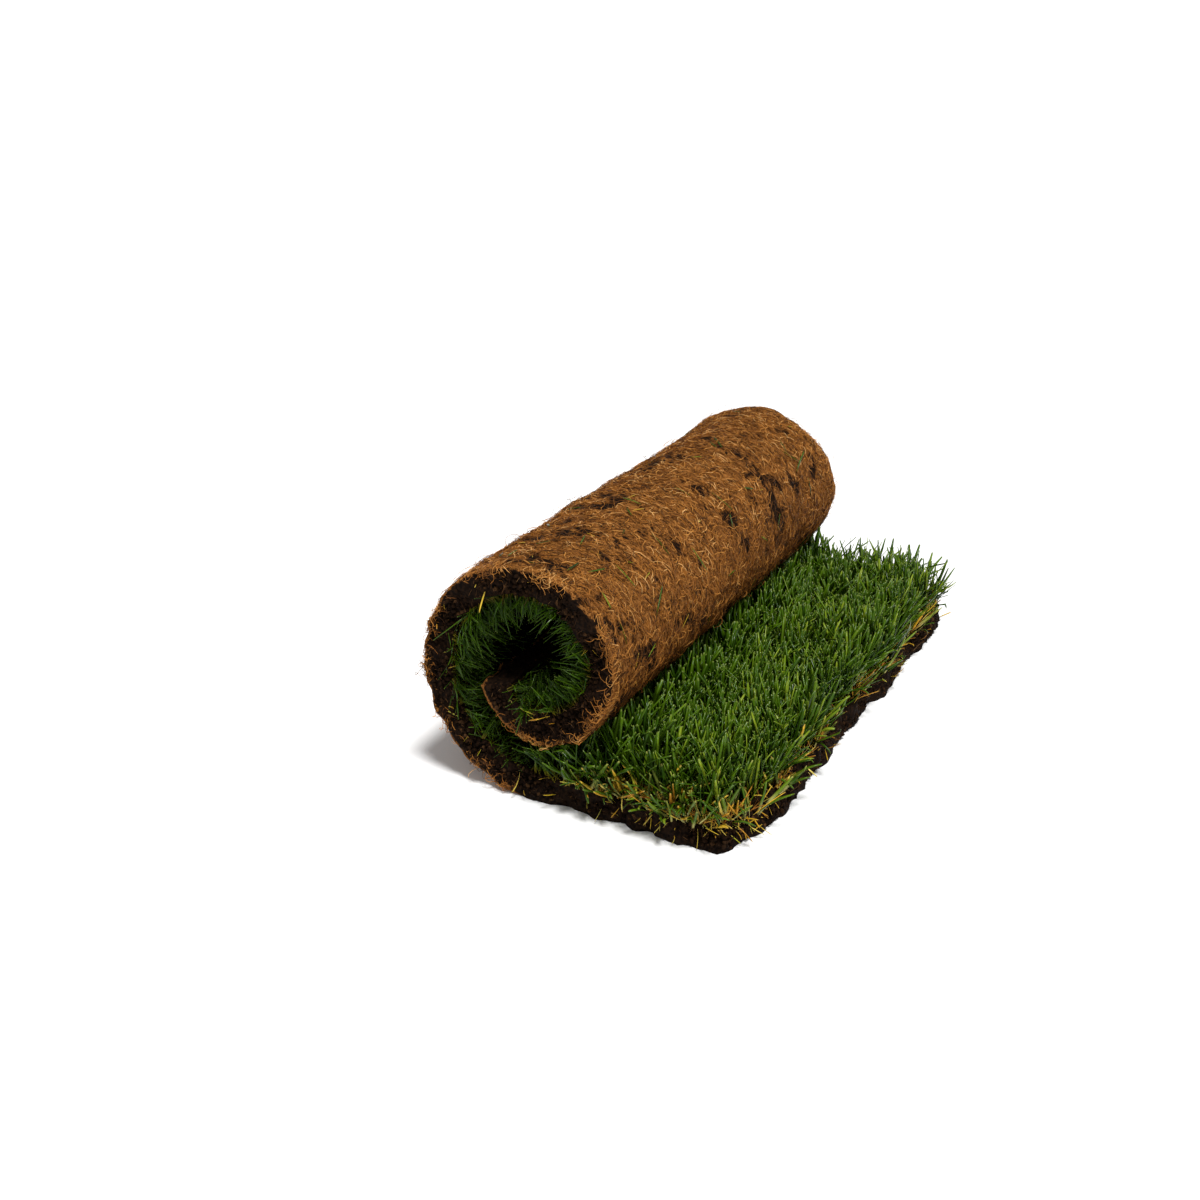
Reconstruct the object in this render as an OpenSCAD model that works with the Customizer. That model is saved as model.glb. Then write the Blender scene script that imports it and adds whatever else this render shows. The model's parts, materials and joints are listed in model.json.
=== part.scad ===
// Roll of turf, part unrolled: one cut sheet of turf, rolled with its grass inside and its roots outside.
// A flat tongue of the sheet lies in front of the roll with its grass up.
// X runs towards the tongue's free edge, Y along the roll and Z up. The origin is at the middle of the footprint.

/* [Sheet] */
// Width of the sheet, which is the length of the roll
sheet_width = 406; // [250:1:600]
// Length of the sheet, along the middle of its mat
sheet_length = 610; // [540:1:660]
// Thickness of the mat of roots and soil
mat_thickness = 20; // [14:1:26]

/* [Roll] */
// Height of the roll above the floor
roll_height = 170; // [155:1:195]
// Length of the flat tongue, from under the middle of the roll to its free edge
tongue_length = 166; // [120:1:220]
// Diameter of the open heart of the roll
heart_diameter = 30; // [16:1:32]

/* [Grass] */
// Height above the mat at which the standing blades close up; single tips stand higher
grass_height = 34; // [20:1:48]
// Depth of the grass that is pressed between two turns
pressed_depth = 24; // [16:1:28]
// Drop of the grass tips where blades lean out at the free edge
edge_drop = 12; // [0:1:20]
// Bare soil between the grass and the cut edges
soil_ledge = 5; // [0:0.5:12]
// More bare soil at the near corner, where the grass is worn off
near_scuff = 10; // [0:1:20]
// Depth of the rolled grass behind the grass at the sides of the tongue
roll_recess = 8; // [0:1:25]

/* [Edges] */
// Length along the free edge of the near corner, which is broken off
near_corner_length = 58; // [20:1:90]
// Depth of that corner, from the free edge
near_corner_depth = 19; // [5:1:40]
// Radius of the far corner of the free edge, which is hardly worn
far_corner_radius = 10; // [4:1:40]
// Distance that the near end of the free edge falls back, as it was cut askew
free_skew = 8; // [0:0.5:15]
// Depth of the waves that cutting leaves in the edges
wave_depth = 5; // [0:0.5:12]

/* [Hidden] */
$fn = 96;

// The spiral is drawn as half-turns. Even ones are behind the roll's middle and odd ones in front of it.
// Each half-turn is half a pitch smaller than the one before, so that they meet edge to edge.
pitch = mat_thickness + pressed_depth;
back_radius = roll_height / 2;
wound_length = sheet_length - tongue_length;

// The roll's middle stands where the footprint comes out centred on the origin
roll_x = (back_radius - tongue_length) / 2;
free_x = roll_x + tongue_length;
back_x = roll_x - back_radius;

// Points along one wavy edge, and how far cutting shapes reach past what they cut
edge_steps = 36;
reach = 10;

// Distances from the near corner over which its scuffed grass ends, along the side and along the free edge
side_fade = [40, 120];
free_fade = 45;

function outer_radius(k) = back_radius - k * pitch / 2;
function inner_radius(k) = outer_radius(k) - mat_thickness;
function middle_radius(k) = outer_radius(k) - mat_thickness / 2;
function centre_z(k) = back_radius + (k % 2) * pitch / 2;
function wound_before(k) = k == 0 ? 0 : wound_before(k - 1) + PI * middle_radius(k - 1);
function sweep(k) = min(180, (wound_length - wound_before(k)) / middle_radius(k) * 180 / PI);

// Numbers of the half-turns that the wound length fills, the last one in part
half_turns = [for (k = 0; inner_radius(k) > 0 && wound_before(k) < wound_length; k = k + 1) k];

// Inward depth of an uneven cut at share u of an edge. It is nothing at the edge's middle.
function wave(u, slow, quick) =
    wave_depth * (2 - cos(360 * slow * (u - 0.5)) - cos(360 * quick * (u - 0.5))) / 4;

// Setback of a corner worn to radius r, at distance d along the edge from its end
function wear(d, r) = d < r ? r - sqrt(r * r - (r - d) * (r - d)) : 0;

// Setback of the broken near corner, at distance d along the free edge from its end
function broken(d) = near_corner_depth * pow(max(0, 1 - d / near_corner_length), 1.3);

// Share of the scuffing on the near side, at distance d back from the free edge
function side_share(d) = min(1, max(0, (side_fade[1] - d) / (side_fade[1] - side_fade[0])));

// Shares of an edge from 0 to 1, closer together near both ends
function shares(steps) = [for (i = [0 : steps]) (1 - cos(180 * i / steps)) / 2];

// Section of half-turn k, from where it starts to the end of its sweep
module half_turn(k) {
    start = k % 2 == 0 ? 270 : 90;
    far = 2 * outer_radius(k);
    translate([roll_x, centre_z(k)])
        intersection() {
            difference() {
                circle(r = outer_radius(k));
                circle(r = inner_radius(k));
            }
            polygon([
                [0, 0],
                for (i = [0 : 4]) let (a = start - sweep(k) * i / 4) far * [cos(a), sin(a)]
            ]);
        }
}

// Half of the space inside half-turn k, on the side where that half-turn is
module half_space(k) {
    side = k % 2 == 0 ? -1 : 0;
    translate([roll_x, centre_z(k)])
        intersection() {
            circle(r = inner_radius(k));
            translate([side * inner_radius(k) * 2, -inner_radius(k) * 2])
                square([inner_radius(k) * 2, inner_radius(k) * 4]);
        }
}

// Section of the mat: the tongue on the floor and the turns that follow it
module mat_section() {
    translate([roll_x, 0])
        square([tongue_length, mat_thickness]);
    for (k = half_turns)
        half_turn(k);
}

// Section of the grass that stands on the tongue and runs in under the front of the roll
module standing_section() {
    top = mat_thickness + grass_height;
    difference() {
        polygon([
            [roll_x, mat_thickness],
            [free_x, mat_thickness],
            [free_x - soil_ledge, top - edge_drop],
            [free_x - soil_ledge - edge_drop, top],
            [roll_x, top]
        ]);
        translate([roll_x, centre_z(1)])
            circle(r = outer_radius(1));
    }
}

// Section of the grass that the roll holds, round its open heart
module rolled_section() {
    difference() {
        union() {
            half_space(0);
            half_space(1);
        }
        for (k = half_turns)
            if (k > 1)
                half_turn(k);
        translate([roll_x, (centre_z(0) + centre_z(1)) / 2])
            circle(d = heart_diameter);
    }
}

// Outline of the sheet from above, with wavy cut edges, drawn in by inset along the cut edges
// and by scuff more at the near corner
module outline(inset, scuff) {
    half = sheet_width / 2 - inset;
    front = free_x - inset;
    far_corner = max(far_corner_radius - inset, 1);
    near_end = front - free_skew - broken(0) - scuff;
    far_end = front - far_corner;
    side_start = back_x - reach;
    near = [for (u = shares(edge_steps))
        let (x = side_start + (near_end - side_start) * u)
        [x, -half + wave(u, 2, 5) + scuff * side_share(free_x - x)]];
    far = [for (u = shares(edge_steps))
        [side_start + (far_end - side_start) * u, half - wave(u, 3, 7)]];
    near_y = near[edge_steps][1];
    far_y = far[edge_steps][1];
    free = [for (u = shares(edge_steps))
        let (
            y = near_y + (far_y - near_y) * u,
            d = y - near_y,
            skewed = free_skew * max(0, 1 - 2 * u),
            waved = wave(u, 3, 8) * min(1, d / near_corner_length, (far_y - y) / far_corner),
            worn = broken(d) + wear(far_y - y, far_corner) + scuff * exp(-d / free_fade)
        )
        [front - skewed - waved - worn, y]];
    inner = [for (i = [1 : edge_steps - 1]) free[i]];
    back = [for (i = [edge_steps : -1 : 0]) far[i]];
    polygon(concat(near, inner, back));
}

// Extrudes a section along the roll and trims it to the sheet's outline
module sheet(inset, scuff) {
    intersection() {
        rotate([90, 0, 0])
            linear_extrude(height = sheet_width + reach, center = true)
                children();
        translate([0, 0, -reach])
            linear_extrude(height = roll_height + grass_height + 2 * reach)
                outline(inset, scuff);
    }
}

module root_mat() {
    color("#6e4a28")
        sheet(0, 0)
            mat_section();
}

module grass() {
    color("#4a7a2e") {
        sheet(soil_ledge, near_scuff)
            standing_section();
        sheet(soil_ledge + roll_recess, 0)
            rolled_section();
    }
}

root_mat();
grass();
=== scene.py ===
"""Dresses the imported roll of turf: its root mat, fibres, soil, grass and straw, with light and a camera."""

from __future__ import annotations

import json
import logging
import math
from collections.abc import Callable, Sequence
from dataclasses import dataclass, replace
from enum import Enum

import bmesh
import bpy
import numpy as np
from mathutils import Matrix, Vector

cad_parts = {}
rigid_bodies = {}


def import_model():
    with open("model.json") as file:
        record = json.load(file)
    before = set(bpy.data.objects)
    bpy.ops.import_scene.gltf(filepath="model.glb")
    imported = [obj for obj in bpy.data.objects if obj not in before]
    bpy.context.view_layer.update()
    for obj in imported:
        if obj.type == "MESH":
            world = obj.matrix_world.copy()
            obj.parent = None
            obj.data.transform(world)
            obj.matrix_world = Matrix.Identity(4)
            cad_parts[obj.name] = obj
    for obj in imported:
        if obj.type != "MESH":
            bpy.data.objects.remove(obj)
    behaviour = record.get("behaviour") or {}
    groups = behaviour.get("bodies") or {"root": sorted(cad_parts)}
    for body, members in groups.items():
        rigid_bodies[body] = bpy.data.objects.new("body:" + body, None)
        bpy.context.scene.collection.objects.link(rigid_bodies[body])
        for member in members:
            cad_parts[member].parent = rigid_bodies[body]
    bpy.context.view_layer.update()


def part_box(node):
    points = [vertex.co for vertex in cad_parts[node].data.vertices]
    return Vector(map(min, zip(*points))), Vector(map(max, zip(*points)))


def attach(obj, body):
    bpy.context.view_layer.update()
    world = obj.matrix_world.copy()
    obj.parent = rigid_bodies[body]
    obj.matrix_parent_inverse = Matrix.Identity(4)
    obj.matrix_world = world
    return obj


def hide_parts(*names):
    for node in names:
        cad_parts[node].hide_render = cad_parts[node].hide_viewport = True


LOG = logging.getLogger("turf")
MM = 0.001
BODY = "root"
Triple = tuple[float, float, float]
Colour = Triple


class Slot(Enum):
    """Material slots of the record, one held by each sowing, which nothing here reads."""

    ROOT_MAT = "root_mat"
    GRASS = "grass"


class Side(Enum):
    """The two cut sides of the sheet, by the way they face along the roll."""

    NEAR = -1
    FAR = 1


class Term:
    """One output of a node tree, whose arithmetic adds Math nodes to that tree."""

    def __init__(self, maker: Maker, socket: bpy.types.NodeSocket) -> None:
        """Keeps the tree's maker and the output."""
        self.maker = maker
        self.socket = socket

    def math(self, operation: str, *values: Term | float) -> Term:
        """Adds one Math node.

        Args:
            operation: The node's operation.
            values: What goes into its inputs, in order.

        Returns:
            The node's result.
        """
        return self.maker.add("ShaderNodeMath", dict(enumerate(values)), {"operation": operation})

    def __add__(self, other: Term | float) -> Term:
        """Adds two values."""
        return self.math("ADD", self, other)

    def __radd__(self, other: float) -> Term:
        """Adds a number and this value."""
        return self.math("ADD", other, self)

    def __sub__(self, other: Term | float) -> Term:
        """Takes a value from this one."""
        return self.math("SUBTRACT", self, other)

    def __rsub__(self, other: float) -> Term:
        """Takes this value from a number."""
        return self.math("SUBTRACT", other, self)

    def __mul__(self, other: Term | float) -> Term:
        """Multiplies two values."""
        return self.math("MULTIPLY", self, other)

    def __rmul__(self, other: float) -> Term:
        """Multiplies a number and this value."""
        return self.math("MULTIPLY", other, self)

    def step(self, low: float, high: float) -> Term:
        """Goes smoothly from 0 at low to 1 at high.

        Args:
            low: Value that gives 0.
            high: Value that gives 1, which may be below low.

        Returns:
            The eased share.
        """
        values = {"Value": self, "From Min": low, "From Max": high}
        return self.maker.add("ShaderNodeMapRange", values, {"interpolation_type": "SMOOTHSTEP"})


class Maker:
    """Adds nodes to one tree."""

    def __init__(self, tree: bpy.types.NodeTree) -> None:
        """Keeps the tree."""
        self.tree = tree

    @staticmethod
    def pick(sockets: Sequence[bpy.types.NodeSocket], key: str | int) -> bpy.types.NodeSocket:
        """Finds a socket by its place or by its name among those in use.

        Args:
            sockets: A node's inputs or outputs.
            key: Place or name.

        Returns:
            The socket.
        """
        if isinstance(key, int):
            return sockets[key]
        return next(s for s in sockets if s.name == key and not s.is_unavailable)

    def feed(self, socket: bpy.types.NodeSocket, value: object) -> None:
        """Links a term to an input, or sets the input to a plain value.

        Args:
            socket: The input.
            value: A term, or a plain value.
        """
        if isinstance(value, Term):
            self.tree.links.new(value.socket, socket)
        elif isinstance(value, tuple) and socket.type == "RGBA":
            socket.default_value = (*value, 1.0)
        else:
            socket.default_value = value

    def add(
        self,
        kind: str,
        inputs: dict[str | int, object] | None = None,
        settings: dict[str, object] | None = None,
        output: str | int = 0,
    ) -> Term:
        """Adds a node of any kind.

        Args:
            kind: The node's type.
            inputs: Values or terms for its inputs, by name or place.
            settings: Properties to set first; stops gives the places and colours of a ramp.
            output: Name or place of the output wanted.

        Returns:
            That output.
        """
        node = self.tree.nodes.new(kind)
        for name, value in (settings or {}).items():
            if name == "stops":
                self.set_stops(node.color_ramp, value)
            else:
                setattr(node, name, value)
        for key, value in (inputs or {}).items():
            self.feed(self.pick(node.inputs, key), value)
        return Term(self, self.pick(node.outputs, output))

    @staticmethod
    def set_stops(ramp: bpy.types.ColorRamp, stops: Sequence[tuple[float, Colour]]) -> None:
        """Gives a colour ramp its stops.

        Args:
            ramp: The ramp.
            stops: Places and colours, in order.
        """
        while len(ramp.elements) < len(stops):
            ramp.elements.new(1.0)
        for element, (place, colour) in zip(ramp.elements, stops, strict=True):
            element.position = place
            element.color = (*colour, 1.0)

    def attribute(self, name: str, output: str = "Fac") -> Term:
        """Reads an attribute of the piece's own mesh."""
        return self.add("ShaderNodeAttribute", settings={"attribute_name": name}, output=output)

    def ramp(self, value: Term, stops: Sequence[tuple[float, Colour]]) -> Term:
        """Turns a value into a colour."""
        return self.add("ShaderNodeValToRGB", {"Fac": value}, {"stops": stops}, "Color")

    def mix(self, share: Term | float, first: object, second: object) -> Term:
        """Mixes two colours.

        Args:
            share: Share of the second colour.
            first: Colour at share 0.
            second: Colour at share 1.

        Returns:
            The mixed colour.
        """
        values = {"Factor": share, "A": first, "B": second}
        return self.add("ShaderNodeMix", values, {"data_type": "RGBA"}, "Result")

    def noise(self, place: Term, scale: float, stretch: Triple, turn: float, detail: float) -> Term:
        """Reads smooth noise.

        Args:
            place: Coordinates in metres.
            scale: Waves in each metre.
            stretch: Factors on the coordinates, before the scale.
            turn: Turn about Z before the stretch, in radians.
            detail: Octaves.

        Returns:
            Noise from 0 to 1.
        """
        turned = self.add("ShaderNodeVectorRotate", {"Vector": place, "Angle": turn})
        values = {"Vector": turned, "Scale": stretch}
        mapped = self.add("ShaderNodeMapping", values, {"vector_type": "POINT"})
        return self.add("ShaderNodeTexNoise", {"Vector": mapped, "Scale": scale, "Detail": detail})


@dataclass(frozen=True)
class Finish:
    """A finish whose colours follow each small shape's tint and the way along it."""

    name: str
    tints: tuple[tuple[float, Colour], ...]
    foot: Colour
    foot_end: float
    tip: Colour
    tip_start: float
    roughness: float
    shine: float

    def material(self) -> bpy.types.Material:
        """Makes the finish as a material.

        Returns:
            The material.
        """
        made, maker, shader = start_material(self.name)
        tint = maker.attribute("tint")
        along = maker.attribute("along")
        body = maker.ramp(tint, self.tints)
        footed = maker.mix(along.step(self.foot_end, 0.0), body, self.foot)
        tipped = maker.mix(along.step(self.tip_start, 1.0), footed, self.tip)
        maker.feed(shader.inputs["Base Color"], tipped)
        shader.inputs["Roughness"].default_value = self.roughness
        shader.inputs["Specular IOR Level"].default_value = self.shine
        return made


@dataclass(frozen=True)
class MatFinish:
    """Matted roots and fibre over dark soil, by the mat's own soil attribute."""

    name: str = "root_mat_felt"
    # deep is partly painted shade between the painted hairs, pale partly painted highlight on them
    deep: Colour = (0.024, 0.0088, 0.003)
    fibre: Colour = (0.17, 0.058, 0.01)
    pale: Colour = (0.38, 0.16, 0.04)
    soil: Colour = (0.004, 0.002, 0.0012)
    loam: Colour = (0.021, 0.0098, 0.0045)
    curl: float = 6 * MM
    curl_waves: float = 160.0
    ways: tuple[float, ...] = (0.05, -0.75, 0.8, 1.5)
    hair_waves: Triple = (110.0, 480.0, 300.0)
    hair_width: float = 0.06
    cloud_waves: Triple = (300.0, 380.0, 300.0)
    speck_waves: Triple = (230.0, 380.0, 300.0)
    grain_waves: float = 420.0
    relief: float = 0.6 * MM
    relief_strength: float = 0.6
    roughness: float = 0.85
    shine: float = 0.06

    def curled(self, maker: Maker, flat: Term) -> Term:
        """Bends flat coordinates, so that what is drawn on them curls.

        Args:
            maker: Adds the nodes.
            flat: Flat coordinates in metres.

        Returns:
            The bent coordinates.
        """
        noise = {"Vector": flat, "Scale": self.curl_waves, "Detail": 2.0}
        waves = maker.add("ShaderNodeTexNoise", noise, output="Color")
        centred = maker.add("ShaderNodeVectorMath", {0: waves, 1: (-0.5, -0.5, -0.5)})
        bent = maker.add("ShaderNodeVectorMath", {0: centred, "Scale": self.curl}, {"operation": "SCALE"})
        return maker.add("ShaderNodeVectorMath", {0: flat, 1: bent})

    def hairs(self, maker: Maker, place: Term, way: float) -> Term:
        """Draws thin hairs along the contours of a stretched noise.

        Args:
            maker: Adds the nodes.
            place: Flat coordinates in metres.
            way: Turn of the hairs from X, in radians.

        Returns:
            1 on a hair and 0 between hairs.
        """
        waves = maker.noise(place, 1.0, self.hair_waves, way, 2.0)
        away = waves - 0.5
        return away.math("ABSOLUTE", away).step(self.hair_width, 0.0)

    def material(self) -> bpy.types.Material:
        """Makes the finish as a material.

        Returns:
            The material.
        """
        made, maker, shader = start_material(self.name)
        flat = maker.attribute("flat", "Vector")
        soil = maker.attribute("soil")
        curled = self.curled(maker, flat)
        strands = self.hairs(maker, curled, self.ways[0])
        for way in self.ways[1:]:
            strands = strands.math("MAXIMUM", strands, self.hairs(maker, curled, way) * 0.9)
        cloud = maker.noise(flat, 1.0, self.cloud_waves, 0.1, 3.0)
        tone = strands * 0.55 + cloud * 0.55
        # Painted light in the felt's colour: deep between the painted hairs is partly painted shade in the
        # gaps and partly dark felt, and pale on the hairs is partly pale fibre and partly painted highlight.
        felt = maker.ramp(tone, ((0.24, self.deep), (0.52, self.fibre), (0.85, self.pale)))
        grains = maker.noise(flat, self.grain_waves, (1.0, 1.0, 1.0), 0.0, 4.0)
        earth = maker.ramp(grains, ((0.4, self.soil), (0.7, self.loam)))
        specks = maker.noise(curled, 1.0, self.speck_waves, 0.2, 3.0)
        dark = (specks + soil * 0.5).step(0.6, 0.86)
        maker.feed(shader.inputs["Base Color"], maker.mix(dark, felt, earth))
        height = strands * (1.0 - soil) + grains * soil * 2.5
        bump = {"Height": height, "Strength": self.relief_strength, "Distance": self.relief}
        maker.feed(shader.inputs["Normal"], maker.add("ShaderNodeBump", bump))
        shader.inputs["Roughness"].default_value = self.roughness
        shader.inputs["Specular IOR Level"].default_value = self.shine
        return made


@dataclass(frozen=True)
class FloorFinish:
    """Plain pale paint on the floor."""

    name: str = "pale_floor"
    first: Colour = (0.94, 0.94, 0.935)
    second: Colour = (0.96, 0.96, 0.955)
    cloud_waves: float = 1.5
    roughness: float = 0.9
    shine: float = 0.1

    def material(self) -> bpy.types.Material:
        """Makes the finish as a material.

        Returns:
            The material.
        """
        made, maker, shader = start_material(self.name)
        place = maker.add("ShaderNodeTexCoord", output="Object")
        cloud = maker.noise(place, self.cloud_waves, (1.0, 1.0, 1.0), 0.0, 2.0)
        maker.feed(shader.inputs["Base Color"], maker.mix(cloud, self.first, self.second))
        shader.inputs["Roughness"].default_value = self.roughness
        shader.inputs["Specular IOR Level"].default_value = self.shine
        return made


BLADE = Finish(
    name="grass_blade",
    tints=(
        (0.0, (0.015, 0.043, 0.001)),
        (0.3, (0.043, 0.096, 0.002)),
        (0.55, (0.068, 0.134, 0.003)),
        (0.72, (0.042, 0.09, 0.01)),
        (0.88, (0.108, 0.187, 0.006)),
        (1.0, (0.23, 0.3, 0.018)),
    ),
    foot=(0.17, 0.13, 0.012),
    foot_end=0.3,
    tip=(0.14, 0.19, 0.03),
    tip_start=0.965,
    roughness=0.25,
    shine=0.18,
)
PALE_BLADE = Finish(
    name="pale_footed_blade",
    tints=(
        (0.0, (0.035, 0.095, 0.006)),
        (0.35, (0.085, 0.165, 0.008)),
        (0.6, (0.17, 0.25, 0.012)),
        (0.8, (0.045, 0.1, 0.02)),
        (1.0, (0.32, 0.33, 0.03)),
    ),
    foot=(0.76, 0.68, 0.24),
    foot_end=0.55,
    tip=(0.3, 0.3, 0.06),
    tip_start=0.92,
    roughness=0.4,
    shine=0.2,
)
STRAW = Finish(
    name="straw_stem",
    tints=(
        (0.0, (0.42, 0.16, 0.01)),
        (0.25, (0.68, 0.38, 0.016)),
        (0.5, (0.76, 0.52, 0.036)),
        (0.7, (0.82, 0.66, 0.15)),
        (0.85, (0.42, 0.45, 0.02)),
        (1.0, (0.3, 0.1, 0.01)),
    ),
    foot=(0.78, 0.56, 0.1),
    foot_end=0.3,
    tip=(0.5, 0.32, 0.05),
    tip_start=0.9,
    roughness=0.5,
    shine=0.3,
)
THATCH = Finish(
    name="dead_thatch",
    tints=(
        (0.0, (0.15, 0.05, 0.008)),
        (0.35, (0.4, 0.16, 0.014)),
        (0.6, (0.58, 0.3, 0.025)),
        (0.8, (0.62, 0.46, 0.08)),
        (1.0, (0.26, 0.26, 0.02)),
    ),
    foot=(0.3, 0.12, 0.015),
    foot_end=0.3,
    tip=(0.4, 0.2, 0.03),
    tip_start=0.9,
    roughness=0.55,
    shine=0.2,
)
UNDER_FIBRE = Finish(
    name="under_fibre",
    tints=(
        (0.0, (0.012, 0.005, 0.002)),
        (0.3, (0.125, 0.043, 0.007)),
        (0.7, (0.33, 0.116, 0.016)),
        (1.0, (0.54, 0.21, 0.035)),
    ),
    foot=(0.06, 0.022, 0.006),
    foot_end=0.12,
    tip=(0.06, 0.022, 0.006),
    tip_start=0.88,
    roughness=0.75,
    shine=0.1,
)
FIBRE = Finish(
    name="root_fibre",
    tints=(
        (0.0, (0.03, 0.012, 0.004)),
        (0.25, (0.2, 0.069, 0.01)),
        (0.5, (0.43, 0.158, 0.023)),
        (0.8, (0.68, 0.29, 0.057)),
        (1.0, (0.9, 0.5, 0.175)),
    ),
    foot=(0.12, 0.045, 0.01),
    foot_end=0.12,
    tip=(0.14, 0.052, 0.012),
    tip_start=0.88,
    roughness=0.6,
    shine=0.2,
)
CRUMB = Finish(
    name="soil_crumb",
    tints=(
        (0.0, (0.004, 0.002, 0.0012)),
        (0.5, (0.01, 0.0047, 0.0024)),
        (0.85, (0.024, 0.0115, 0.0052)),
        (1.0, (0.08, 0.038, 0.015)),
    ),
    foot=(0.005, 0.0025, 0.0015),
    foot_end=0.4,
    tip=(0.018, 0.0086, 0.0042),
    tip_start=0.8,
    roughness=0.95,
    shine=0.05,
)
ROOT = Finish(
    name="fine_root",
    tints=(
        (0.0, (0.03, 0.012, 0.005)),
        (0.5, (0.07, 0.03, 0.01)),
        (0.85, (0.14, 0.065, 0.022)),
        (1.0, (0.3, 0.17, 0.07)),
    ),
    foot=(0.02, 0.01, 0.005),
    foot_end=0.3,
    tip=(0.12, 0.06, 0.02),
    tip_start=0.8,
    roughness=0.8,
    shine=0.1,
)


def start_material(name: str) -> tuple[bpy.types.Material, Maker, bpy.types.Node]:
    """Starts a material with one Principled shader.

    Args:
        name: The material's name.

    Returns:
        The material, the maker of its tree and the shader's node.
    """
    made = bpy.data.materials.new(name)
    made.use_nodes = True
    tree = made.node_tree
    tree.nodes.clear()
    shader = tree.nodes.new("ShaderNodeBsdfPrincipled")
    out = tree.nodes.new("ShaderNodeOutputMaterial")
    tree.links.new(shader.outputs["BSDF"], out.inputs["Surface"])
    return made, Maker(tree), shader


class Lumps:
    """Smooth seeded noise from -1 to 1 at arrays of points."""

    SIDE = 32

    def __init__(self, seed: int) -> None:
        """Draws the noise's own table of numbers."""
        self.table = np.random.default_rng(seed).uniform(-1.0, 1.0, (self.SIDE,) * 3)

    def at(self, points: np.ndarray, size: float) -> np.ndarray:
        """Reads the noise.

        Args:
            points: One point in each row.
            size: Distance between the noise's knots.

        Returns:
            One number for each point.
        """
        cell = points / size
        low = np.floor(cell).astype(int)
        part = cell - low
        part = part * part * (3.0 - 2.0 * part)
        total = np.zeros(len(points))
        for corner in np.ndindex(2, 2, 2):
            spot = (low + corner) % self.SIDE
            weight = np.where(corner, part, 1.0 - part).prod(axis=1)
            total += weight * self.table[spot[:, 0], spot[:, 1], spot[:, 2]]
        return total


def rows(*columns: np.ndarray | float) -> np.ndarray:
    """Puts coordinates side by side, with one place in each row."""
    return np.stack(np.broadcast_arrays(*columns), axis=1)


def rising(value: np.ndarray, start: float, span: float) -> np.ndarray:
    """Goes straight from 0 at start to 1 a span further on, and stays there."""
    return np.clip((value - start) / span, 0.0, 1.0)


def fading(distance: np.ndarray, reach: float) -> np.ndarray:
    """Goes straight from 1 at no distance to 0 at its reach, and stays there."""
    return np.clip(1.0 - distance / reach, 0.0, 1.0)


def hill(distance: np.ndarray, reach: float) -> np.ndarray:
    """Gives a smooth hill that is 1 at no distance and dies out past its reach on both sides."""
    return np.exp(-((distance / reach) ** 2))


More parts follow.
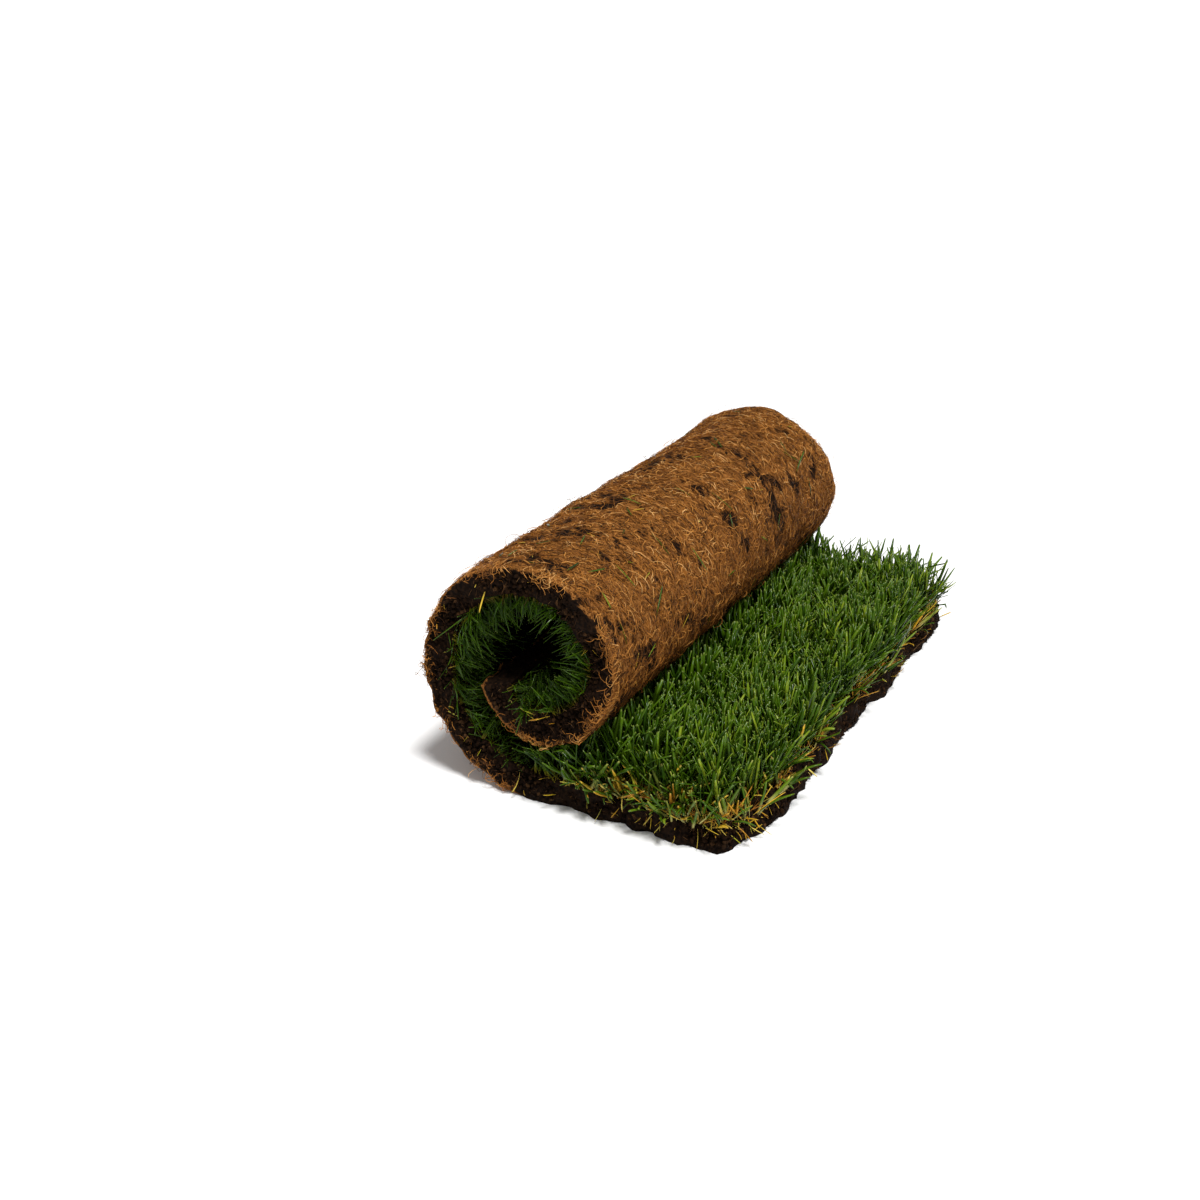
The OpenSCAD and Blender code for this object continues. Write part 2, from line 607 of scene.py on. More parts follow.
@dataclass(frozen=True)
class Strip:
    """The cut sheet of turf: a flat tongue, and the half-turns of the roll behind it.

    A place on the sheet is given flat, as if it were unrolled: x towards the free edge, y along the
    roll and z up from the root side. On the tongue a flat place is the real one.
    """

    free_x: float
    roll_x: float
    back_radius: float
    thickness: float
    half_width: float
    pressed: float = 24 * MM
    length: float = 610 * MM
    grass_height: float = 42 * MM
    ledge: float = 5 * MM
    turn_count: int = 4
    tilt: float = 3.5 * MM
    overhang: float = 10 * MM
    floor_gap: float = 0.3 * MM

    # Cut edges
    wave: float = 5 * MM
    side_wave_size: float = 45 * MM
    free_wave_size: float = 50 * MM
    ragged: float = 3.2 * MM
    notch_size: float = 19 * MM
    tooth_size: float = 7 * MM
    near_cut: float = 19 * MM
    near_reach: float = 58 * MM
    far_corner: float = 10 * MM
    skew: float = 8 * MM
    skew_at: float = 60 * MM
    skew_span: float = 30 * MM
    torn: float = 14 * MM
    torn_past_top: float = 32 * MM
    torn_reach: float = 36 * MM

    # Wear of the grass side along them
    wear: float = 4 * MM
    scuff: float = 11 * MM
    scuff_start: float = 120 * MM
    scuff_span: float = 80 * MM
    scuff_fade: float = 45 * MM

    # Swellings and dark patches of the root side
    hump: float = 1.7 * MM
    hump_size: float = 46 * MM
    lump: float = 1.1 * MM
    lump_size: float = 15 * MM
    swell_start: float = 15 * MM
    swell_span: float = 30 * MM
    patch_sizes: tuple[float, float, float, float] = (30 * MM, 12 * MM, 5 * MM, 2.3 * MM)
    patch_from: float = 0.38
    patch_span: float = 0.38

    @classmethod
    def from_frame(cls) -> Strip:
        """Works out the sheet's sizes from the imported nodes.

        Returns:
            The sheet.
        """
        low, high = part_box("root_mat")
        grass_low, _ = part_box("grass")
        radius = (high.z - low.z) / 2
        return cls(high.x, low.x + radius, radius, grass_low.z - low.z, high.y)

    @property
    def back_x(self) -> float:
        """Flat x of the sheet's inner end."""
        return self.free_x - self.length

    @property
    def half_pitch(self) -> float:
        """How much smaller each half-turn is than the one before."""
        return (self.thickness + self.pressed) / 2

    @property
    def front_radius(self) -> float:
        """Outer radius of the roll's front."""
        return self.back_radius - self.half_pitch

    @property
    def front_centre(self) -> float:
        """Height of the centre of the roll's front."""
        return self.back_radius + self.half_pitch

    def half_turns(self) -> list[tuple[float, float, float, float]]:
        """Lists the half-turns.

        Returns:
            For each, the wound length where it starts, its outer radius, the height of its
            centre and the angle at which it starts.
        """
        found = []
        start = 0.0
        for number in range(self.turn_count):
            radius = self.back_radius - number * self.half_pitch
            centre = self.back_radius + (number % 2) * self.half_pitch
            first = math.radians(90.0 if number % 2 else 270.0)
            found.append((start, radius, centre, first))
            start += math.pi * (radius - self.thickness / 2)
        return found

    def wound(self, flat: np.ndarray) -> np.ndarray:
        """Says how far along the winding flat places are, from where the tongue ends."""
        return self.roll_x - flat[:, 0]

    def wrap(self, flat: np.ndarray) -> np.ndarray:
        """Rolls flat places up.

        Args:
            flat: One flat place in each row.

        Returns:
            The real places.
        """
        rolled = flat.copy()
        wound = self.wound(flat)
        for start, radius, centre, first in self.half_turns():
            there = wound > start
            angle = first - (wound[there] - start) / (radius - self.thickness / 2)
            arm = radius - flat[there, 2]
            rolled[there, 0] = self.roll_x + arm * np.cos(angle)
            rolled[there, 2] = centre + arm * np.sin(angle)
        rolled[:, 2] += self.rise(flat[:, 1]) * rising(wound, 0.0, 2 * self.back_radius)
        return rolled

    def rise(self, y: np.ndarray) -> np.ndarray:
        """Says how much higher the roll lies at a place along it, as its near end rests on more grass."""
        return -self.tilt * y / self.half_width

    def hemmed(self, real: np.ndarray) -> np.ndarray:
        """Draws in what reaches far past the sheet's own box, and lifts what is below the floor.

        Args:
            real: Real places.

        Returns:
            The places kept near the box.
        """
        kept = real.copy()
        ends = ((self.roll_x - self.back_radius, self.free_x), (-self.half_width, self.half_width))
        for axis, (low, high) in enumerate(ends):
            inner = np.clip(real[:, axis], low, high)
            kept[:, axis] = inner + self.overhang * np.tanh((real[:, axis] - inner) / self.overhang)
        kept[:, 2] = np.maximum(kept[:, 2], self.floor_gap)
        return kept

    def rolled(self, flat: np.ndarray) -> np.ndarray:
        """Rolls flat places up and keeps them near the sheet's own box."""
        return self.hemmed(self.wrap(flat))

    def setback(self, x: np.ndarray, side: Side) -> np.ndarray:
        """Says how far a cut side is drawn in from the sheet's full width.

        Args:
            x: Flat places along the side.
            side: Which side.

        Returns:
            The distances.
        """
        lumps = Lumps(20 + side.value)
        line = rows(x, 0.0, side.value)
        slow = 0.5 + 0.5 * lumps.at(line, self.side_wave_size)
        quick = lumps.at(line, self.tooth_size)
        drawn = self.wave * slow + self.ragged * quick * 0.6
        if side is Side.FAR:
            top = math.pi * (self.back_radius - self.thickness / 2)
            drawn += self.torn * hill(self.roll_x - x - top - self.torn_past_top, self.torn_reach)
        return drawn

    def side_wear(self, x: np.ndarray, side: Side) -> np.ndarray:
        """Says how far the grass side is worn back behind the foot of a cut side.

        Args:
            x: Flat places along the side.
            side: Which side.

        Returns:
            The distances.
        """
        worn = np.full_like(x, self.wear)
        if side is Side.NEAR:
            worn += self.scuff * rising(x - self.free_x, -self.scuff_start, self.scuff_span)
        return worn

    def free_wear(self, y: np.ndarray) -> np.ndarray:
        """Says how far the grass side is worn back behind the foot of the free edge."""
        return self.wear + self.scuff * np.exp(-(y + self.half_width) / self.scuff_fade)

    def front(self, y: np.ndarray) -> np.ndarray:
        """Gives the flat x of the free edge.

        Args:
            y: Places along the edge.

        Returns:
            One x for each.
        """
        lumps = Lumps(30)
        line = rows(y, 0.0, 0.0)
        slow = 0.5 + 0.5 * lumps.at(line, self.free_wave_size)
        quick = 0.7 * lumps.at(line, self.notch_size) + 0.4 * lumps.at(line, self.tooth_size)
        cut = self.near_cut * fading(y + self.half_width, self.near_reach) ** 1.3
        far = np.clip(self.half_width - y, 0.0, self.far_corner)
        cut += self.far_corner - np.sqrt(self.far_corner**2 - (self.far_corner - far) ** 2)
        step = rising(-y, -self.skew_at, self.skew_span)
        skewed = self.skew * (0.65 * step + 0.35 * rising(-y, 0.0, self.half_width))
        return self.free_x - 0.6 * self.wave * slow - self.ragged * quick - cut - skewed

    def swell(self, flat: np.ndarray) -> np.ndarray:
        """Gives the uneven swelling of the root side, which is none where the sheet lies on the floor.

        Args:
            flat: Flat places.

        Returns:
            Distances outwards.
        """
        lumps = Lumps(40)
        place = flat * (1.0, 1.0, 0.0)
        size = self.hump * lumps.at(place, self.hump_size) + self.lump * lumps.at(place, self.lump_size)
        return size * rising(self.wound(flat), self.swell_start, self.swell_span)

    def blotch(self, flat: np.ndarray) -> np.ndarray:
        """Says where dark soil shows through the root side.

        Args:
            flat: Flat places.

        Returns:
            Shares from 0 for fibre to 1 for soil.
        """
        lumps = Lumps(50)
        place = flat * (1.0, 1.0, 0.0)
        wide, patch, spot, speck = (lumps.at(place, size) for size in self.patch_sizes)
        mixed = 0.3 * wide + 0.85 * patch + (0.5 * spot + 0.35 * speck)
        return rising(mixed, self.patch_from, self.patch_span)


@dataclass
class Shape:
    """Points and faces of one small shape, with the way along it and the shade of each point."""

    points: np.ndarray
    faces: list[tuple[int, ...]]
    along: np.ndarray
    shade: np.ndarray

    @classmethod
    def tube(cls, rings: np.ndarray, along: np.ndarray, shade: float) -> Shape:
        """Joins rings of points into a closed tube.

        Args:
            rings: Rings by points by coordinates, each ring anticlockwise as seen from the last.
            along: Share of the length at each ring.
            shade: Shade of the whole tube.

        Returns:
            The shape.
        """
        count, sides = rings.shape[:2]
        faces: list[tuple[int, ...]] = []
        for ring in range(count - 1):
            for side in range(sides):
                after = (side + 1) % sides
                low = ring * sides
                faces.append((low + side, low + after, low + sides + after, low + sides + side))
        faces.append(tuple(reversed(range(sides))))
        faces.append(tuple(range((count - 1) * sides, count * sides)))
        points = rings.reshape(-1, 3)
        return cls(points, faces, np.repeat(along, sides), np.full(len(points), shade))

    @classmethod
    def spindle(cls, rings: np.ndarray, ends: np.ndarray, along: np.ndarray, shade: float) -> Shape:
        """Joins rings of points into a tube that comes to a point at both ends.

        Args:
            rings: Rings by points by coordinates, each ring anticlockwise as seen from the last.
            ends: The first and the last point.
            along: Share of the length at the first end, at each ring and at the last end.
            shade: Shade of the whole tube.

        Returns:
            The shape.
        """
        count, sides = rings.shape[:2]
        top = 1 + (count - 1) * sides
        faces: list[tuple[int, ...]] = []
        for side in range(sides):
            after = (side + 1) % sides
            faces.append((0, 1 + after, 1 + side))
            for low in range(1, top, sides):
                faces.append((low + side, low + after, low + sides + after, low + sides + side))
            faces.append((top + side, top + after, top + sides))
        points = np.concatenate([ends[:1], rings.reshape(-1, 3), ends[1:]])
        shares = np.concatenate([along[:1], np.repeat(along[1:-1], sides), along[-1:]])
        return cls(points, faces, shares, np.full(len(points), shade))

    @classmethod
    def joined(cls, shapes: Sequence[Shape]) -> Shape:
        """Joins shapes into one.

        Args:
            shapes: The shapes.

        Returns:
            A new shape.
        """
        faces: list[tuple[int, ...]] = []
        start = 0
        for shape in shapes:
            faces.extend(tuple(i + start for i in face) for face in shape.faces)
            start += len(shape.points)
        return cls(
            np.concatenate([s.points for s in shapes]),
            faces,
            np.concatenate([s.along for s in shapes]),
            np.concatenate([s.shade for s in shapes]),
        )

    def turned(self, angle: float, lean: float, shift: Sequence[float]) -> Shape:
        """Leans the shape over, turns it about Z and moves it.

        Args:
            angle: Turn about Z, in radians.
            lean: Lean towards Y before that turn, in radians.
            shift: Move after both.

        Returns:
            A new shape.
        """
        x, y, z = self.points.T
        y, z = y * math.cos(lean) + z * math.sin(lean), z * math.cos(lean) - y * math.sin(lean)
        x, y = x * math.cos(angle) - y * math.sin(angle), x * math.sin(angle) + y * math.cos(angle)
        return Shape(np.stack([x, y, z], axis=1) + shift, self.faces, self.along, self.shade)

    def mesh(self, name: str) -> bpy.types.Mesh:
        """Makes the shape a mesh that carries its attributes.

        Args:
            name: The mesh's name.

        Returns:
            The mesh.
        """
        made = bpy.data.meshes.new(name)
        made.from_pydata(self.points.tolist(), [], self.faces)
        give(made, {"along": self.along, "shade": self.shade})
        made.shade_smooth()
        return made


def give(mesh: bpy.types.Mesh, values: dict[str, np.ndarray]) -> None:
    """Stores numbers or vectors on a mesh's points.

    Args:
        mesh: The mesh.
        values: One number or vector for each point, by attribute name.
    """
    for name, value in values.items():
        vector = value.ndim > 1
        layer = mesh.attributes.new(name, "FLOAT_VECTOR" if vector else "FLOAT", "POINT")
        layer.data.foreach_set("vector" if vector else "value", value.astype(np.float32).ravel())


def taken(mesh: bpy.types.Mesh, name: str) -> np.ndarray:
    """Reads numbers that a mesh holds on its points.

    Args:
        mesh: The mesh.
        name: The attribute's name.

    Returns:
        One number for each point.
    """
    found = np.empty(len(mesh.vertices), np.float32)
    mesh.attributes[name].data.foreach_get("value", found)
    return found


def places(mesh: bpy.types.Mesh) -> np.ndarray:
    """Reads a mesh's points.

    Args:
        mesh: The mesh.

    Returns:
        One point in each row.
    """
    found = np.empty(len(mesh.vertices) * 3, np.float32)
    mesh.vertices.foreach_get("co", found)
    return found.reshape(-1, 3).astype(float)


def swept(path: np.ndarray, radius: float, shade: float) -> Shape:
    """Sweeps a three-sided thread along a path, to a point at both ends.

    Args:
        path: Points of the path.
        radius: The thread's radius.
        shade: Shade of the thread.

    Returns:
        The thread.
    """
    way = np.gradient(path, axis=0)
    way /= np.linalg.norm(way, axis=1, keepdims=True)
    beside = np.cross((0.0, 0.0, 1.0), way)
    beside /= np.linalg.norm(beside, axis=1, keepdims=True)
    above = np.cross(way, beside)
    rings = []
    for corner in range(3):
        angle = 0.5 * math.pi + 2.0 * corner * math.pi / 3.0
        offset = math.cos(angle) * beside + math.sin(angle) * above
        rings.append(path + radius * offset)
    steps = np.linalg.norm(np.diff(path, axis=0), axis=1)
    along = np.concatenate([[0.0], np.cumsum(steps)]) / steps.sum()
    return Shape.spindle(np.stack(rings, axis=1)[1:-1], path[[0, -1]], along, shade)


@dataclass(frozen=True)
class BladeShape:
    """One mown blade of grass, keeled on its back, that stands along Z and bends towards Y."""

    length: float
    width: float
    bend: float
    shade: float
    twist: float = 0.0
    keel: float = 0.3 * MM
    stations: tuple[float, ...] = (0.0, 0.3, 0.6, 0.86, 1.0)
    widths: tuple[float, ...] = (0.6, 0.95, 1.0, 0.8, 0.4)

    def shape(self) -> Shape:
        """Builds the blade.

        Returns:
            The blade with its foot at the origin.
        """
        rings = []
        centre = np.zeros(3)
        last = 0.0
        for station, width in zip(self.stations, self.widths, strict=True):
            angle = self.bend * (station + last) / 2
            way = np.array([0.0, math.sin(angle), math.cos(angle)])
            centre = centre + self.length * (station - last) * way
            last = station
            tilt = self.bend * station
            spin = self.twist * station
            plain = np.array([0.0, math.cos(tilt), -math.sin(tilt)])
            level = np.array([1.0, 0.0, 0.0])
            face = plain * math.cos(spin) - level * math.sin(spin)
            across = (level * math.cos(spin) + plain * math.sin(spin)) * self.width * width / 2
            fold = face * self.keel * 0.5
            rings.append([centre + across + fold, centre - across + fold, centre - face * self.keel])
        return Shape.tube(np.array(rings), np.array(self.stations), self.shade)


@dataclass(frozen=True)
class BladeKind:
    """Ranges that the blades or stems of one kind are drawn from, with widths in millimetres."""

    length: tuple[float, float]
    width: tuple[float, float]
    bend: tuple[float, float]
    twist: float = 1.0
    unit: float = MM
    stations: tuple[float, ...] = BladeShape.stations
    widths: tuple[float, ...] = BladeShape.widths

    def drawn(self, draw: np.random.Generator) -> Shape:
        """Draws one blade.

        Args:
            draw: Where its sizes are drawn.

        Returns:
            The blade with its foot at the origin. Its length is counted in the kind's unit.
        """
        return BladeShape(
            length=draw.uniform(*self.length) * self.unit,
            width=draw.uniform(*self.width) * MM,
            bend=draw.uniform(*self.bend),
            shade=draw.uniform(0.0, 1.0),
            twist=draw.uniform(-self.twist, self.twist) if self.twist else 0.0,
            stations=self.stations,
            widths=self.widths,
        ).shape()


FALLEN = BladeKind(length=(14.0, 32.0), width=(1.0, 2.2), bend=(-0.3, 0.3))
STEM = BladeKind(length=(12.0, 30.0), width=(0.9, 2.3), bend=(-0.4, 0.9))
DROOPING = BladeKind(length=(22.0, 40.0), width=(1.7, 2.8), bend=(-0.4, 0.8))
BENT = BladeKind(length=(20.0, 34.0), width=(1.7, 2.7), bend=(0.9, 2.0), twist=0.6)
STRAY = BladeKind(length=(9.0, 26.0), width=(0.7, 1.4), bend=(-0.3, 0.3), twist=0.0)


class Strewing:
    """A Geometry Nodes tree that strews copies of a few shapes over a bed.

    The bed's points say how closely they lie (cover), which way they are turned (turn), how they
    lean (lean) and how large they are (grow).
    """

    INPUTS = (
        ("Shapes", "NodeSocketCollection"),
        ("Density", "NodeSocketFloat"),
        ("Seed", "NodeSocketInt"),
        ("Least Size", "NodeSocketFloat"),
        ("Most Size", "NodeSocketFloat"),
        ("Turn Spread", "NodeSocketFloat"),
        ("Lean Spread", "NodeSocketFloat"),
        ("Finish", "NodeSocketMaterial"),
    )
    MOST_SHAPES = 1000

    def __init__(self) -> None:
        """Builds the tree."""
        self.tree = bpy.data.node_groups.new("strewing", "GeometryNodeTree")
        face = self.tree.interface
        face.new_socket("Bed", in_out="INPUT", socket_type="NodeSocketGeometry")
        self.keys = {}
        for name, kind in self.INPUTS:
            self.keys[name] = face.new_socket(name, in_out="INPUT", socket_type=kind).identifier
        face.new_socket("Strewn", in_out="OUTPUT", socket_type="NodeSocketGeometry")
        self.maker = Maker(self.tree)
        self.source = self.tree.nodes.new("NodeGroupInput")
        result = self.tree.nodes.new("NodeGroupOutput")
        self.maker.feed(result.inputs["Strewn"], self.dressed(self.instances(self.points())))

    def given(self, name: str) -> Term:
        """Reads one of the tree's own inputs."""
        return Term(self.maker, self.source.outputs[name])

    def held(self, name: str, kind: str = "FLOAT") -> Term:
        """Reads an attribute of the bed."""
        settings = {"data_type": kind}
        return self.maker.add("GeometryNodeInputNamedAttribute", {"Name": name}, settings, "Attribute")

    def chance(self, low: object, high: object, salt: int, kind: str = "FLOAT") -> Term:
        """Draws a random value for each copy.

        Args:
            low: Least value.
            high: Most value.
            salt: Added to the seed, so that draws differ.
            kind: The value's type.

        Returns:
            The draw.
        """
        values = {"Min": low, "Max": high, "Seed": self.given("Seed") + salt}
        return self.maker.add("FunctionNodeRandomValue", values, {"data_type": kind}, "Value")

    def points(self) -> Term:
        """Scatters points over the bed.

        Returns:
            The points.
        """
        density = self.given("Density") * self.held("cover")
        values = {"Mesh": self.given("Bed"), "Density": density, "Seed": self.given("Seed")}
        settings = {"distribute_method": "RANDOM"}
        return self.maker.add("GeometryNodeDistributePointsOnFaces", values, settings, "Points")

    def rotation(self) -> Term:
        """Turns each copy about Z and then leans it over.

        Returns:
            The rotations.
        """
        spread = self.given("Turn Spread")
        turn = self.held("turn") + self.chance(-1.0, 1.0, 1) * spread
        spin = self.maker.add("ShaderNodeCombineXYZ", {"Z": turn})
        start = self.maker.add("FunctionNodeEulerToRotation", {"Euler": spin})
        sway = self.chance((-1.0, -1.0, 0.0), (1.0, 1.0, 0.0), 2, "FLOAT_VECTOR")
        values = {0: sway, "Scale": self.given("Lean Spread")}
        scaled = self.maker.add("ShaderNodeVectorMath", values, {"operation": "SCALE"})
        lean = self.maker.add("ShaderNodeVectorMath", {0: scaled, 1: self.held("lean", "FLOAT_VECTOR")})
        upright = self.maker.add("ShaderNodeVectorMath", {0: lean, 1: (0.0, 0.0, 1.0)})
        values = {"Rotation": start, "Vector": upright}
        return self.maker.add("FunctionNodeAlignRotationToVector", values, {"axis": "Z"})

    def instances(self, points: Term) -> Term:
        """Puts a copy on each point and gives it a tint.

        Args:
            points: The points.

        Returns:
            The copies.
        """
        info = {"Collection": self.given("Shapes"), "Separate Children": True, "Reset Children": True}
        size = self.chance(self.given("Least Size"), self.given("Most Size"), 3) * self.held("grow")
        values = {
            "Points": points,
            "Instance": self.maker.add("GeometryNodeCollectionInfo", info),
            "Pick Instance": True,
            "Instance Index": self.chance(0, self.MOST_SHAPES, 4, "INT"),
            "Rotation": self.rotation(),
            "Scale": size,
        }
        placed = self.maker.add("GeometryNodeInstanceOnPoints", values)
        tint = {"Geometry": placed, "Name": "tint", "Value": self.chance(0.0, 1.0, 5)}
        settings = {"data_type": "FLOAT", "domain": "INSTANCE"}
        return self.maker.add("GeometryNodeStoreNamedAttribute", tint, settings)

    def dressed(self, instances: Term) -> Term:
        """Makes the copies plain mesh and sets their finish.

        Args:
            instances: The copies.

        Returns:
            The mesh.
        """
        realized = self.maker.add("GeometryNodeRealizeInstances", {"Geometry": instances})
        values = {"Geometry": realized, "Material": self.given("Finish")}
        return self.maker.add("GeometryNodeSetMaterial", values)


@dataclass
class Bed:
    """A patch of the sheet, as a flat grid, that small shapes are strewn on."""

    points: np.ndarray
    faces: np.ndarray
    cover: np.ndarray
    turn: np.ndarray
    lean: np.ndarray
    grow: np.ndarray

    @classmethod
    def grid(cls, first: np.ndarray, second: np.ndarray, place: Callable[..., np.ndarray]) -> Bed:
        """Lays a grid.

        Args:
            first: Values along the grid's first direction.
            second: Values along its second direction.
            place: Gives flat places for arrays of both values.

        Returns:
            A bed with even cover.
        """
        one, two = np.meshgrid(first, second, indexing="ij")
        points = place(one.ravel(), two.ravel())
        ids = np.arange(len(points)).reshape(one.shape)
        faces = np.stack([ids[:-1, :-1], ids[1:, :-1], ids[1:, 1:], ids[:-1, 1:]], axis=-1)
        count = len(points)
        lean = np.zeros((count, 3))
        return cls(points, faces.reshape(-1, 4), np.ones(count), np.zeros(count), lean, np.ones(count))

    def mesh(self, name: str) -> bpy.types.Mesh:
        """Makes the bed a mesh that carries its attributes.

        Args:
            name: The mesh's name.

        Returns:
            The mesh.
        """
        made = bpy.data.meshes.new(name)
        made.from_pydata(self.points.tolist(), [], self.faces.tolist())
        give(made, {"cover": self.cover, "turn": self.turn, "lean": self.lean, "grow": self.grow})
        return made


@dataclass(frozen=True)
class Sowing:
    """How one kind of shape is strewn."""

    name: str
    slot: Slot
    seed: int
    density: float
    sizes: tuple[float, float]
    turn_spread: float
    lean_spread: float

    def strew(
        self,
        tree: Strewing,
        bed: Bed,
        shapes: Sequence[Shape],
        finish: bpy.types.Material,
        reshape: Callable[[np.ndarray], np.ndarray],
        tone: Callable[[np.ndarray], np.ndarray] | None = None,
    ) -> bpy.types.Object:
        """Strews shapes over a bed and makes the result one plain piece.

        Args:
            tree: The strewing tree.
            bed: Where they lie, flat.
            shapes: The shapes to choose among.
            finish: Their material.
            reshape: Turns flat places into real ones.
            tone: Gives factors on the tint at flat places, if it varies with the place.

        Returns:
            The piece.
        """
        box = bpy.data.collections.new(self.name + "_shapes")
        for number, shape in enumerate(shapes):
            box.objects.link(bpy.data.objects.new(f"{box.name}_{number}", shape.mesh(box.name)))
        host = bpy.data.objects.new(self.name + "_bed", bed.mesh(self.name + "_bed"))
        bpy.context.scene.collection.objects.link(host)
        change = host.modifiers.new("strewing", "NODES")
        change.node_group = tree.tree
        values = {
            "Shapes": box,
            "Density": self.density,
            "Seed": self.seed,
            "Least Size": self.sizes[0],
            "Most Size": self.sizes[1],
            "Turn Spread": self.turn_spread,
            "Lean Spread": self.lean_spread,
            "Finish": finish,
        }
        for name, value in values.items():
            change[tree.keys[name]] = value
        graph = bpy.context.evaluated_depsgraph_get()
        mesh = bpy.data.meshes.new_from_object(host.evaluated_get(graph), depsgraph=graph)
        host.modifiers.remove(change)
        bpy.data.objects.remove(host)
        for copy in list(box.objects):
            bpy.data.objects.remove(copy)
        bpy.data.collections.remove(box)
        flat = places(mesh)
        mesh.vertices.foreach_set("co", reshape(flat).astype(np.float32).ravel())
        self.lay_out(mesh, tone(flat) if tone else np.ones(len(flat)))
        mesh.update()
        return show(self.name, mesh)

    @staticmethod
    def lay_out(mesh: bpy.types.Mesh, tone: np.ndarray) -> None:
        """Mixes each shape's tint and shade, and lays its map out by tint and the way along.

        Args:
            mesh: The strewn shapes.
            tone: Factor on the tint at each point.
        """
        tint = (taken(mesh, "tint") + taken(mesh, "shade")) % 1.0 * tone
        mesh.attributes["tint"].data.foreach_set("value", tint.astype(np.float32))
        corners = np.empty(len(mesh.loops), np.int32)
        mesh.loops.foreach_get("vertex_index", corners)
        spots = np.stack([tint, taken(mesh, "along")], axis=1)[corners]
        layer = mesh.uv_layers.new(name="OFBake")
        layer.uv.foreach_set("vector", spots.astype(np.float32).ravel())


def show(name: str, mesh: bpy.types.Mesh) -> bpy.types.Object:
    """Puts a finished mesh in the scene as a piece that rides on the one body.

    Args:
        name: The piece's name.
        mesh: Its mesh, in place.

    Returns:
        The piece.
    """
    mesh.name = name
    piece = bpy.data.objects.new(name, mesh)
    bpy.context.scene.collection.objects.link(piece)
    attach(piece, BODY)
    mesh.calc_loop_triangles()
    LOG.info("%s: %d triangles", name, len(mesh.loop_triangles))
    return piece


